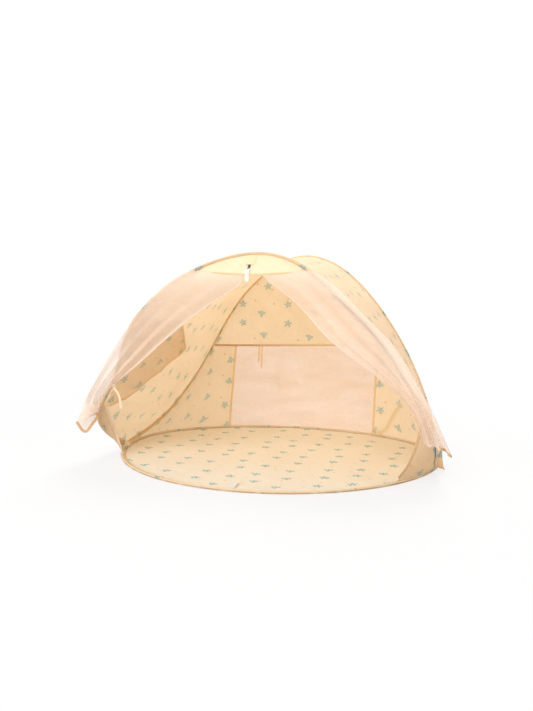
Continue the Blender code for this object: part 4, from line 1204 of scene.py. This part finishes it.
class TentColours(bpy.types.PropertyGroup):
    """Colours of the cloth, the print, the tapes and the metal."""

    ground: colour_property("Cloth", "Ground colour of the printed cloth", (0.965, 0.865, 0.720))
    sleeve: colour_property("Sleeves", "Ground colour of the printed sleeves", (0.890, 0.670, 0.410))
    floor: colour_property("Floor", "Ground colour of the floor", (0.985, 0.905, 0.770))
    floor_sleeve: colour_property(
        "Paler sleeves", "Ground colour of the sleeves round the floor and the back", (0.970, 0.850, 0.650)
    )
    motif: colour_property("Motifs", "Ink of the printed shells and stars", (0.230, 0.500, 0.540))
    dot: colour_property("Dots", "Ink of the printed dots", (0.900, 0.450, 0.150))
    curtain: colour_property("Curtains", "Sheer cloth of the curtains", (0.995, 0.855, 0.780))
    voile: colour_property("Window", "Sheer cloth of the window", (0.968, 0.820, 0.710))
    plain: colour_property("Plain cloth", "Panel over the door", (0.950, 0.870, 0.680))
    binding: colour_property("Binding", "Folded tape on the free edges", (0.960, 0.790, 0.550))
    # This colour is also used for the painted shade line on the floor sleeve.
    hem: colour_property("Hems", "Darker tape on the hems and the right gusset", (0.760, 0.490, 0.260))
    # Painted shade: a darker copy of the printed cloth's ground, for the gussets and the foot tab.
    gusset: colour_property("Gussets", "Ground colour of the gussets by the feet", (0.890, 0.745, 0.540))
    tie: colour_property("Pale tape", "Ties, and the tapes beside the window", (0.990, 0.900, 0.760))
    peach_tape: colour_property("Peach tape", "Zip tapes and ties", (0.955, 0.790, 0.630))
    white_tape: colour_property("White tape", "Ribbon, label and loop", (0.940, 0.930, 0.915))
    thread: colour_property("Thread", "Sewing thread", (0.93, 0.80, 0.60))
    patch: colour_property("Patch", "Patch behind the slider", (0.965, 0.840, 0.560))
    # Painted shade: the grey-blue line laid along the front sleeve where the hoop shows through the curtain.
    stripe: colour_property("Stripe", "Rubbed line along the front sleeve", (0.200, 0.260, 0.310))
    wire: colour_property("Spring wire", "Drawn steel wire", (0.46, 0.47, 0.49))
    ferrule: colour_property("Ferrules", "Crimped steel tubes", (0.62, 0.62, 0.62))
    enamel: colour_property("Zip", "Enamelled slider and puller", (0.16, 0.16, 0.19))


class TentStage(bpy.types.PropertyGroup):
    """The camera's place and the light's level."""

    azimuth: bpy.props.FloatProperty(
        name="Azimuth", description="How far the camera stands round to the right of the door",
        default=math.radians(15.18), subtype="ANGLE", unit="ROTATION",
    )
    elevation: bpy.props.FloatProperty(
        name="Elevation", description="How far the camera looks down", default=math.radians(6.568),
        subtype="ANGLE", unit="ROTATION",
    )
    distance: length_property("Distance", "From the camera to what it looks at", 3.6)
    target: bpy.props.FloatVectorProperty(
        name="Target", description="What the camera looks at", default=(-0.065, 0.0, 0.459),
        subtype="XYZ", unit="LENGTH",
    )
    sky: bpy.props.FloatProperty(
        name="Sky", description="Strength of the white light from all round", default=0.68,
    )
    lamp: bpy.props.FloatProperty(
        name="Lamps", description="Power of the soft lamps, of which each has its share", default=150.0,
        unit="POWER",
    )


class TENT_OT_stage(bpy.types.Operator):
    """Makes the floor that the tent stands on, the white sky, the soft lamps and the camera"""

    bl_idname = "tent.stage"
    bl_label = "Stage"

    def execute(self, context):
        settings = context.scene.tent_stage
        make_ground()
        make_sky(context.scene, settings.sky)
        for name, place, size, share in LAMPS:
            make_lamp(name, place, size, share * settings.lamp)
        make_camera(context.scene, settings)
        context.scene.view_settings.view_transform = "Standard"
        return {"FINISHED"}


def seen_directly(tree):
    """One for rays from the camera, and for those that reach it by a gloss or through a clear sheet."""
    path = add_node(tree, "LightPath")
    seen = maths(tree, "MAXIMUM", path.outputs["Is Camera Ray"], path.outputs["Is Glossy Ray"])
    return maths(tree, "MAXIMUM", seen, path.outputs["Is Transmission Ray"])


def make_ground():
    """A wide pale ground that turns to plain white away from the tent."""
    mesh = bpy.data.meshes.new("ground")
    corners = [(x * GROUND_HALF, y * GROUND_HALF, 0.0) for x, y in ((-1, -1), (1, -1), (1, 1), (-1, 1))]
    mesh.from_pydata(corners, [], [(0, 1, 2, 3)])
    ground = bpy.data.objects.new("ground", mesh)
    bpy.context.scene.collection.objects.link(ground)
    made, tree, output = empty_material("ground")
    where = add_node(tree, "TexCoord").outputs["Object"]
    away = vector_maths(tree, "LENGTH", where, output=1)
    paper = add_node(tree, "BsdfDiffuse", {"Color": (0.80, 0.80, 0.80, 1.0)})
    light = add_node(tree, "Emission", {"Color": (1.0, 1.0, 1.0, 1.0), "Strength": 1.0})
    share = ramp(tree, away, 0.9, 2.4, NEAR_WHITE)
    lit = maths(tree, "MULTIPLY", seen_directly(tree), share)
    mixed = add_node(tree, "MixShader", {0: lit, 1: paper.outputs[0], 2: light.outputs[0]})
    tree.links.new(mixed.outputs[0], output.inputs["Surface"])
    mesh.materials.append(made)


def make_sky(scene, strength):
    """A white world: at full strength where it is seen, and softer where it lights the tent."""
    world = bpy.data.worlds.new("white room")
    scene.world = world
    world.use_nodes = True
    tree = world.node_tree
    tree.nodes.clear()
    level = maths(tree, "MULTIPLY_ADD", seen_directly(tree), 1.0 - strength, strength)
    sky = add_node(tree, "Background", {"Color": (1.0, 1.0, 1.0, 1.0), "Strength": level})
    output = tree.nodes.new("ShaderNodeOutputWorld")
    tree.links.new(sky.outputs[0], output.inputs["Surface"])


def make_lamp(name, place, size, power):
    """A square soft lamp that is turned to the middle of the tent."""
    lamp = bpy.data.lights.new(name, "AREA")
    lamp.size = size
    lamp.energy = power
    made = bpy.data.objects.new(name, lamp)
    made.location = place
    made.rotation_euler = (Vector(LAMP_AIM) - Vector(place)).to_track_quat("-Z", "Y").to_euler()
    bpy.context.scene.collection.objects.link(made)


def make_camera(scene, settings):
    """The camera that was fitted to the photograph's frame."""
    cosine = math.cos(settings.elevation)
    back = Vector((
        math.sin(settings.azimuth) * cosine, -math.cos(settings.azimuth) * cosine, math.sin(settings.elevation)
    ))
    data = bpy.data.cameras.new("camera")
    data.sensor_width = SENSOR_MM
    data.lens = FOCAL_PX * SENSOR_MM / FRAME_HEIGHT_PX
    made = bpy.data.objects.new("camera", data)
    made.location = Vector(settings.target) + settings.distance * back
    made.rotation_euler = (-back).to_track_quat("-Z", "Y").to_euler()
    scene.collection.objects.link(made)
    scene.camera = made


class TENT_OT_floor(bpy.types.Operator):
    """Makes the floor sheet, the sleeve and spring wire round it, and its label and tab"""

    bl_idname = "tent.floor"
    bl_label = "Floor"

    def execute(self, context):
        sizes = context.scene.tent_sizes
        grid = floor_grid()
        sheet = cloth_piece("floor_cloth", grid, finish_of("floor cloth"), grid[..., :2], sizes.cloth)
        settle(sheet, ["floor_sheet"], band=GROUND_BAND)

        angles = np.linspace(0.0, 2.0 * math.pi, 361)[:-1]
        ring = ring_curve(angles)
        inward = -ring * (1.0, 1.0, 0.0)
        gather = 1.0 + 0.025 * ripples(lengths_along(ring), 0.0, 71, 0.030)
        gather = np.minimum(gather, 1.03)
        section = sleeve_section(sizes.ring_sleeve_radius, lip=0.010)
        sleeve = swept_piece(
            "floor_sleeve", ring, inward, section, finish_of("floor sleeve cloth"), True, gather
        )
        settle(sleeve, ["floor_ring_sleeve"], band=GROUND_BAND)
        seam = make_seam_binding("floor_seam_binding", ring, inward, sizes.ring_sleeve_radius, True)
        settle(seam, [], band=GROUND_BAND)

        turn = np.linspace(math.pi / 2 + WIRE_GAP, math.pi * 5 / 2 - WIRE_GAP, 361)
        wire_line = ring_curve(turn)
        wire = swept_piece(
            "floor_spring_wire", wire_line, -wire_line * (1.0, 1.0, 0.0), round_section(WIRE_RADIUS, 10),
            finish_of("spring wire"),
        )
        settle(wire, ["floor_ring_wire"], band=GROUND_BAND)
        extras = [make_label(grid), make_foot_tab(), sleeve, wire, seam]
        return {"FINISHED"}


def make_seam_binding(name, line, inward, radius, closed=False):
    """A folded tape over the ends of a sleeve's lips, carried along beside the sleeve."""
    path = line + (radius + SEAM_STAND_OFF) * square_to(inward, tangents_of(line, closed))
    section = tape_section(SEAM_WIDTH, SEAM_THICKNESS, 14)
    return swept_piece(name, path, inward, section, finish_of("printed binding"), closed)


def make_label(floor):
    """The bare white label sewn at the floor's front edge, curling up a little at its free end."""
    x0, x1, y0, y1 = LABEL
    across, down = np.meshgrid(np.linspace(0.0, 1.0, 13), np.linspace(0.0, 1.0, 41))
    x = x0 + (x1 - x0) * across
    y = y0 + (y1 - y0) * down
    near = (floor[..., 0] - (x0 + x1) / 2) ** 2 + (floor[..., 1] - (y0 + y1) / 2) ** 2
    ground = floor[..., 2].ravel()[np.argsort(near.ravel())[:60]].max()
    z = ground + 0.0012 + 0.0060 * smooth_share(down) + 0.0012 * (2.0 * across - 1.0) ** 2
    piece = cloth_piece("bare_label", np.stack([x, y, z], axis=2), finish_of("white tape"), None, 0.0006)
    return settle(piece, ["floor_label"], "front_half")


def make_foot_tab():
    """The tab outside the right foot: smooth lines between its two edges, down to the tip, with a slight
    roll along the free one."""
    edges = np.array(FOOT_TAB)
    down = np.linspace(0.0, len(edges) - 1.0, 49)
    held = natural_spline(edges[:, 0], down)[:, None]
    free = natural_spline(edges[:, 1], down)[:, None]
    across = np.linspace(0.0, 1.0, 25)[None, :, None]
    grid = between(held, free, across)
    grid[..., 1] -= 0.0022 * np.sin(math.pi * across[..., 0]) - 0.0012 * across[..., 0] ** 6
    # The tab's cloth is the gussets' darker copy of the print, painted shade.
    piece = cloth_piece("foot_tab", grid, finish_of("gusset cloth"), None, 0.0012)
    return settle(piece, ["right_peg_tab"], "rear_half")


class TENT_OT_arches(bpy.types.Operator):
    """Makes both arches' sleeves with their sewn lips, and gives the wires and ferrules their finish"""

    bl_idname = "tent.arches"
    bl_label = "Arches"

    def execute(self, context):
        sizes = context.scene.tent_sizes
        shares = np.linspace(0.0, 1.0, ARCH_STEPS + 1)
        section = sleeve_section(sizes.sleeve_radius)
        rows = (
            ("front_sleeve", FRONT_ARCH, 0.0, 0.02, "front_arch_sleeve", "front_half"),
            ("rear_sleeve", REAR_ARCH, 1.0, 0.98, "rear_arch_sleeve", "rear_half"),
        )
        for seed, (name, line, edge, beside, node, body) in enumerate(rows):
            seam = canopy_surface(shares, np.full_like(shares, edge))
            inner = canopy_surface(shares, np.full_like(shares, beside))
            gather = 1.0 + 0.03 * ripples(lengths_along(line), 0.0, 81 + seed, 0.028)
            finish = finish_of("front sleeve cloth" if edge == 0.0 else "rear sleeve cloth")
            piece = swept_piece(name, line, inner - seam, section, finish, False, np.minimum(gather, 1.05))
            settle(piece, [node], body)
            trim = make_seam_binding(name + "_binding", line, inner - seam, sizes.sleeve_radius)
            settle(trim, [], body)
        for node in ("front_arch_wire", "rear_arch_wire_left", "rear_arch_wire_right"):
            dress_node(node, "spring wire")
        for node in ("arch_ring_ferrule", "floor_ring_ferrule"):
            dress_node(node, "ferrule steel")
        return {"FINISHED"}


def dress_node(node, finish):
    """Gives a CAD node that keeps its shape a better material."""
    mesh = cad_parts[node].data
    mesh.materials.clear()
    mesh.materials.append(finish_of(finish))


class TENT_OT_canopy(bpy.types.Operator):
    """Makes the printed canopy between the arches, and the second layer inside its left wall"""

    bl_idname = "tent.canopy"
    bl_label = "Canopy"

    def execute(self, context):
        sizes = context.scene.tent_sizes
        grid, uv = canopy_grid()
        canopy = cloth_piece("canopy_cloth", grid, finish_of("printed cloth"), uv, sizes.cloth)
        settle(canopy, ["canopy"], band=CANOPY_BAND)
        layer_points, layer_uv = layer_grid()
        layer = cloth_piece("inner_wall_cloth", layer_points, finish_of("printed cloth"), layer_uv, sizes.cloth)
        settle(layer, ["inner_layer"], band=CANOPY_BAND)
        beside = unit(layer_points[:, -1] - layer_points[:, -2])
        side = binding(
            "inner_wall_side_binding", layer_points[:, -1], beside, LAYER_TAPE_WIDTH,
            ["inner_layer_side_tape"], band=CANOPY_BAND,
        )
        under = square_to(layer_points[-1] - layer_points[-2], tangents_of(layer_points[-1]))
        foot = binding(
            "inner_wall_foot_binding", layer_points[-1, 6:], under[6:], LAYER_TAPE_WIDTH,
            ["inner_layer_foot_tape"], band=CANOPY_BAND,
        )
        return {"FINISHED"}


class TENT_OT_back_wall(bpy.types.Operator):
    """Makes the printed upper and side panels, the sheer window, its tapes and its ties"""

    bl_idname = "tent.back_wall"
    bl_label = "Back wall"

    def execute(self, context):
        sizes = context.scene.tent_sizes
        printed = finish_of("printed cloth")
        grid, uv = upper_panel_grid()
        upper = cloth_piece("upper_panel_cloth", grid, printed, uv, sizes.cloth)
        settle(upper, ["back_upper_panel"], "rear_half")
        for side, name, edge_x, seed in ((-1.0, "left", WINDOW_LEFT_X, 43), (1.0, "right", WINDOW_RIGHT_X, 44)):
            grid, uv = side_panel_grid(side, edge_x, seed)
            panel = cloth_piece(name + "_panel_cloth", grid, printed, uv, sizes.cloth)
            settle(panel, ["back_" + name + "_panel"], "rear_half")
        grid, uv = window_grid()
        window = cloth_piece("window_voile", grid, finish_of("window voile"), uv, VOILE_THICKNESS)
        settle(window, ["back_window"], "rear_half")
        make_window_tapes()
        return {"FINISHED"}


def make_window_tapes():
    """The tapes over the window's three seams, the pair of ties over it and the one at its corner."""
    half = WINDOW_TAPE_HALF
    seam = seam_at(np.linspace(*WINDOW_TOP_TAPE_ENDS, 121))
    below = lower_wall_columns(seam[:, 0])
    hang = half * unit(below[1] - below[0])
    made = [tape_on_wall(
        "window_top_binding", seam + (0.0, 0.0, half), seam + hang, ["window_top_tape"],
        "faded binding",
    )]
    for name, x in (("left", WINDOW_LEFT_X), ("right", WINDOW_RIGHT_X)):
        edges = lower_wall_columns(np.array([x - half - 0.001, x + half + 0.001]))
        run = np.linspace(half, lengths_along(edges[:, 0])[-1] - 0.001, 81)
        made.append(tape_on_wall(
            "window_" + name + "_binding", along(edges[:, 0], run), along(edges[:, 1], run),
            ["window_" + name + "_tape"], "window tape",
        ))
    for letter, x, length in SEAM_TIES:
        wall = lower_wall_columns(np.array([x, x + SEAM_TIE_WIDTH]))
        run = np.linspace(0.004, length, 41)
        made.append(tape_on_wall(
            "seam_tie_" + letter, along(wall[:, 0], run), along(wall[:, 1], run), ["window_tie_" + letter],
            "tie tape", 0.0040, 0.0009,
        ))
    path = smooth_line(LOWER_TIE, 80)
    piece = swept_piece(
        "corner_tie", path, (0.0, 0.0, 1.0), tape_section(0.013, 0.0014), finish_of("tie tape")
    )
    made.append(settle(piece, ["window_lower_tie"], "rear_half"))
    return made


class TENT_OT_valance(bpy.types.Operator):
    """Makes the plain panel over the door with its patch, and finishes the zip's slider and ribbon"""

    bl_idname = "tent.valance"
    bl_label = "Panel over the door"

    def execute(self, context):
        grid = valance_grid()
        thickness = context.scene.tent_sizes.cloth
        panel = cloth_piece("door_panel_cloth", grid, finish_of("plain cloth"), None, thickness)
        settle(panel, ["front_valance"], "front_half")
        across = np.linspace(-PATCH_HALF, PATCH_HALF, 21)[:, None] * (1.0, 0.0, 0.0)
        rows = []
        for share in np.linspace(*PATCH_SHARES, 21):
            centre, _, out = valance_frame(ZIP_X, share)
            rows.append(centre + PATCH_STAND_OFF * out + across)
        patch = cloth_piece("slider_patch", np.array(rows), finish_of("patch cloth"), None, 0.0010)
        settle(patch, ["valance_patch"], "front_half")
        fall = unit(grid[-1] - grid[-2])
        hem = binding(
            "door_panel_hem", grid[-1, 6:-6], fall[6:-6], PANEL_HEM_WIDTH, [], "front_half",
            thickness=0.0018,
        )
        dress_node("zip_slider", "zip enamel")
        dress_node("zip_puller", "zip enamel")
        make_ribbon()
        return {"FINISHED"}


def make_ribbon():
    """The white ribbon on the zip's puller: a strip down a smooth path that ends in a small curl."""
    centre, down, out = valance_frame(ZIP_X, ZIP_SHARE_DOWN)
    pin = centre + PIN_STAND_OFF * out
    start = pin + (PULLER_LENGTH + 0.0006) * down
    path = smooth_line([
        start,
        start + 0.010 * down,
        start + 0.015 * down + (0.0, -0.001, -0.007),
        start + 0.016 * down + (0.0, -0.001, -0.022),
        (start[0], start[1] - 0.015, RIBBON_END_Z),
    ], 60)
    half = RIBBON_WIDTH / 2
    across = np.linspace(-half, half, 13)
    turn = smooth_share((lengths_along(path) / lengths_along(path)[-1] - 0.55) / 0.45)[:, None] * 0.5
    x = path[:, None, 0] + across * np.cos(turn)
    y = path[:, None, 1] + across * np.sin(turn) - 0.0010 * (across / half) ** 2
    grid = np.stack([x, y, np.broadcast_to(path[:, None, 2], x.shape)], axis=2)
    ribbon = cloth_piece("puller_ribbon", grid, finish_of("white tape"), None, 0.0007)
    settle(ribbon, ["zip_ribbon"], "puller")
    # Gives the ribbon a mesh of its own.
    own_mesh(ribbon)


class TENT_OT_curtains(bpy.types.Operator):
    """Makes both door curtains with their hems and zip tapes, and the left one's tie and knot"""

    bl_idname = "tent.curtains"
    bl_label = "Curtains"

    def execute(self, context):
        tie = smooth_line(LEFT_TIE, 60)
        tape = swept_piece(
            "curtain_tie", tie, (1.0, 0.0, 0.4), tape_section(0.0105, 0.0010), finish_of("peach tape")
        )
        settle(tape, ["left_tie_tape"], "front_half")
        knot = make_knot("curtain_knot", LEFT_KNOT, 0.0021)
        settle(knot, ["left_tie_knot"], "front_half")
        for side, edges, droop, seed, curl, cuff, extras in (
            ("left", LEFT_CURTAIN, LEFT_HEM_DROOP, 91, 0.0, LEFT_CUFF, [tape, knot]),
            ("right", RIGHT_CURTAIN, RIGHT_HEM_DROOP, 92, 0.004, None, []),
        ):
            grid, uv = curtain_grid(edges, droop, seed, curl, cuff)
            curtain = cloth_piece(side + "_curtain_voile", grid, finish_of("voile"), uv, VOILE_THICKNESS)
            settle(curtain, [side + "_curtain"], "front_half")
            fall = unit(grid[-1] - grid[-2])
            fall = square_to(fall + 2.0 * fall.mean(axis=0), tangents_of(grid[-1]))
            extras.append(binding(
                side + "_hem_binding", grid[-1], fall, HEM_WIDTH, [side + "_curtain_hem"], "front_half",
                material=side + " hem binding",
            ))
            inward = unit(grid[:, -1] - grid[:, -2])
            run = slice(9, len(grid) - 9)
            extras.append(binding(
                side + "_zip_half", grid[run, -1], inward[run], ZIP_TAPE_WIDTH, [side + "_zip_tape"],
                "front_half", material="zip voile", slot="peach_tape", thickness=0.0014,
            ))
        return {"FINISHED"}


def make_knot(name, centre, size):
    """A small knot of tape: a flat section along a trefoil, whose width and height swing once and twice in
    each round, and whose depth swings three times."""
    t = np.linspace(0.0, 2.0 * math.pi, 97)[:-1]
    path = size * np.stack([
        np.sin(t) + 2.0 * np.sin(2.0 * t), -0.8 * np.sin(3.0 * t), np.cos(t) - 2.0 * np.cos(2.0 * t)
    ], axis=1) + np.array(centre)
    outward = path - np.array(centre)
    return swept_piece(name, path, outward, tape_section(0.0026, 0.0036, 12), finish_of("peach tape"), True)


class TENT_OT_gussets(bpy.types.Operator):
    """Makes the gussets beside the front arch's feet, their tapes, the foot patches and the ring's loop"""

    bl_idname = "tent.gussets"
    bl_label = "Gussets and feet"

    def execute(self, context):
        sizes = context.scene.tent_sizes
        for side, name, reach, seed in ((-1.0, "left", LEFT_GUSSET, 101), (1.0, "right", RIGHT_GUSSET, 102)):
            grid, uv = gusset_grid(side, reach, seed)
            # The gussets' cloth is a darker copy of the print: painted shade.
            gusset = cloth_piece(name + "_gusset_cloth", grid, finish_of("gusset cloth"), uv, sizes.cloth)
            settle(gusset, [name + "_gusset"], "front_half")
            edge = grid[2:-2, -1]
            beyond = unit(edge - grid[2:-2, -2])
            finish, slot = ("peach tape", "peach_tape") if side < 0.0 else ("hem binding", "brown_binding")
            tape = binding(
                name + "_gusset_binding", edge, beyond, GUSSET_TAPE_WIDTH, [name + "_gusset_tape"],
                "front_half", material=finish, slot=slot,
            )
            make_foot_patch(side, name)
        make_ring_loop()
        return {"FINISHED"}


def make_foot_patch(side, name):
    """The patch inside a foot: a small sheet that narrows upwards, a little cupped."""
    rows = np.array(FOOT_PATCH)
    down = np.linspace(0.0, 2.0, 25)
    first = natural_spline(rows[:, 0], down)
    second = natural_spline(rows[:, 1], down)
    share = np.linspace(0.0, 1.0, 31)[None, :, None]
    grid = between(first[:, None], second[:, None], share)
    grid[..., 0] += 0.004 * (2.0 * share[..., 0] - 1.0) ** 2
    grid = grid * (side, 1.0, 1.0)
    piece = cloth_piece(name + "_foot_cloth", grid, finish_of("printed cloth"), None, 0.0010)
    settle(piece, [name + "_foot_patch"], "rear_half")


def make_ring_loop():
    """The short tape wrapped over the floor's ring: an arc of a ring's section carried along the ring."""
    start, end, first_turn, last_turn = RING_LOOP
    line = ring_curve(ring_angles_from_foot(-1.0, np.linspace(start, end, 9)))
    turns = np.radians(np.linspace(first_turn, last_turn, 24))
    rim = np.stack([np.cos(turns), np.sin(turns)], axis=1)
    section = np.vstack([RING_LOOP_RADII[0] * rim, RING_LOOP_RADII[1] * rim[::-1]])
    piece = swept_piece("ring_loop", line, -line * (1.0, 1.0, 0.0), section, finish_of("white tape"))
    settle(piece, ["left_ring_loop"], "front_half")


class TENT_PT_parts(bpy.types.Panel):
    """Lists the tent's pieces, sizes and colours"""

    bl_idname = "TENT_PT_parts"
    bl_label = "Beach tent"
    bl_space_type = "VIEW_3D"
    bl_region_type = "UI"
    bl_category = "Tent"

    def draw(self, context):
        for maker in MAKERS:
            self.layout.operator(maker.bl_idname)
        for group in (context.scene.tent_sizes, context.scene.tent_colours, context.scene.tent_stage):
            box = self.layout.box()
            for key in group.__annotations__:
                box.prop(group, key)


MAKERS = (
    TENT_OT_stage, TENT_OT_floor, TENT_OT_arches, TENT_OT_canopy, TENT_OT_back_wall, TENT_OT_valance,
    TENT_OT_curtains, TENT_OT_gussets,
)
SETTINGS = (("tent_sizes", TentSizes), ("tent_colours", TentColours), ("tent_stage", TentStage))


def register():
    """Adds the settings, the operators and the panel."""
    for name, group in SETTINGS:
        bpy.utils.register_class(group)
        setattr(bpy.types.Scene, name, bpy.props.PointerProperty(type=group))
    for maker in (*MAKERS, TENT_PT_parts):
        bpy.utils.register_class(maker)


def unregister():
    """Removes what register added."""
    for maker in (TENT_PT_parts, *reversed(MAKERS)):
        bpy.utils.unregister_class(maker)
    for name, group in reversed(SETTINGS):
        delattr(bpy.types.Scene, name)
        bpy.utils.unregister_class(group)


def main():
    """Makes the whole tent and its stage."""
    register()
    bpy.ops.tent.stage()
    bpy.ops.tent.floor()
    bpy.ops.tent.arches()
    bpy.ops.tent.canopy()
    bpy.ops.tent.back_wall()
    bpy.ops.tent.valance()
    bpy.ops.tent.curtains()
    bpy.ops.tent.gussets()


if __name__ == "__main__":
    main()
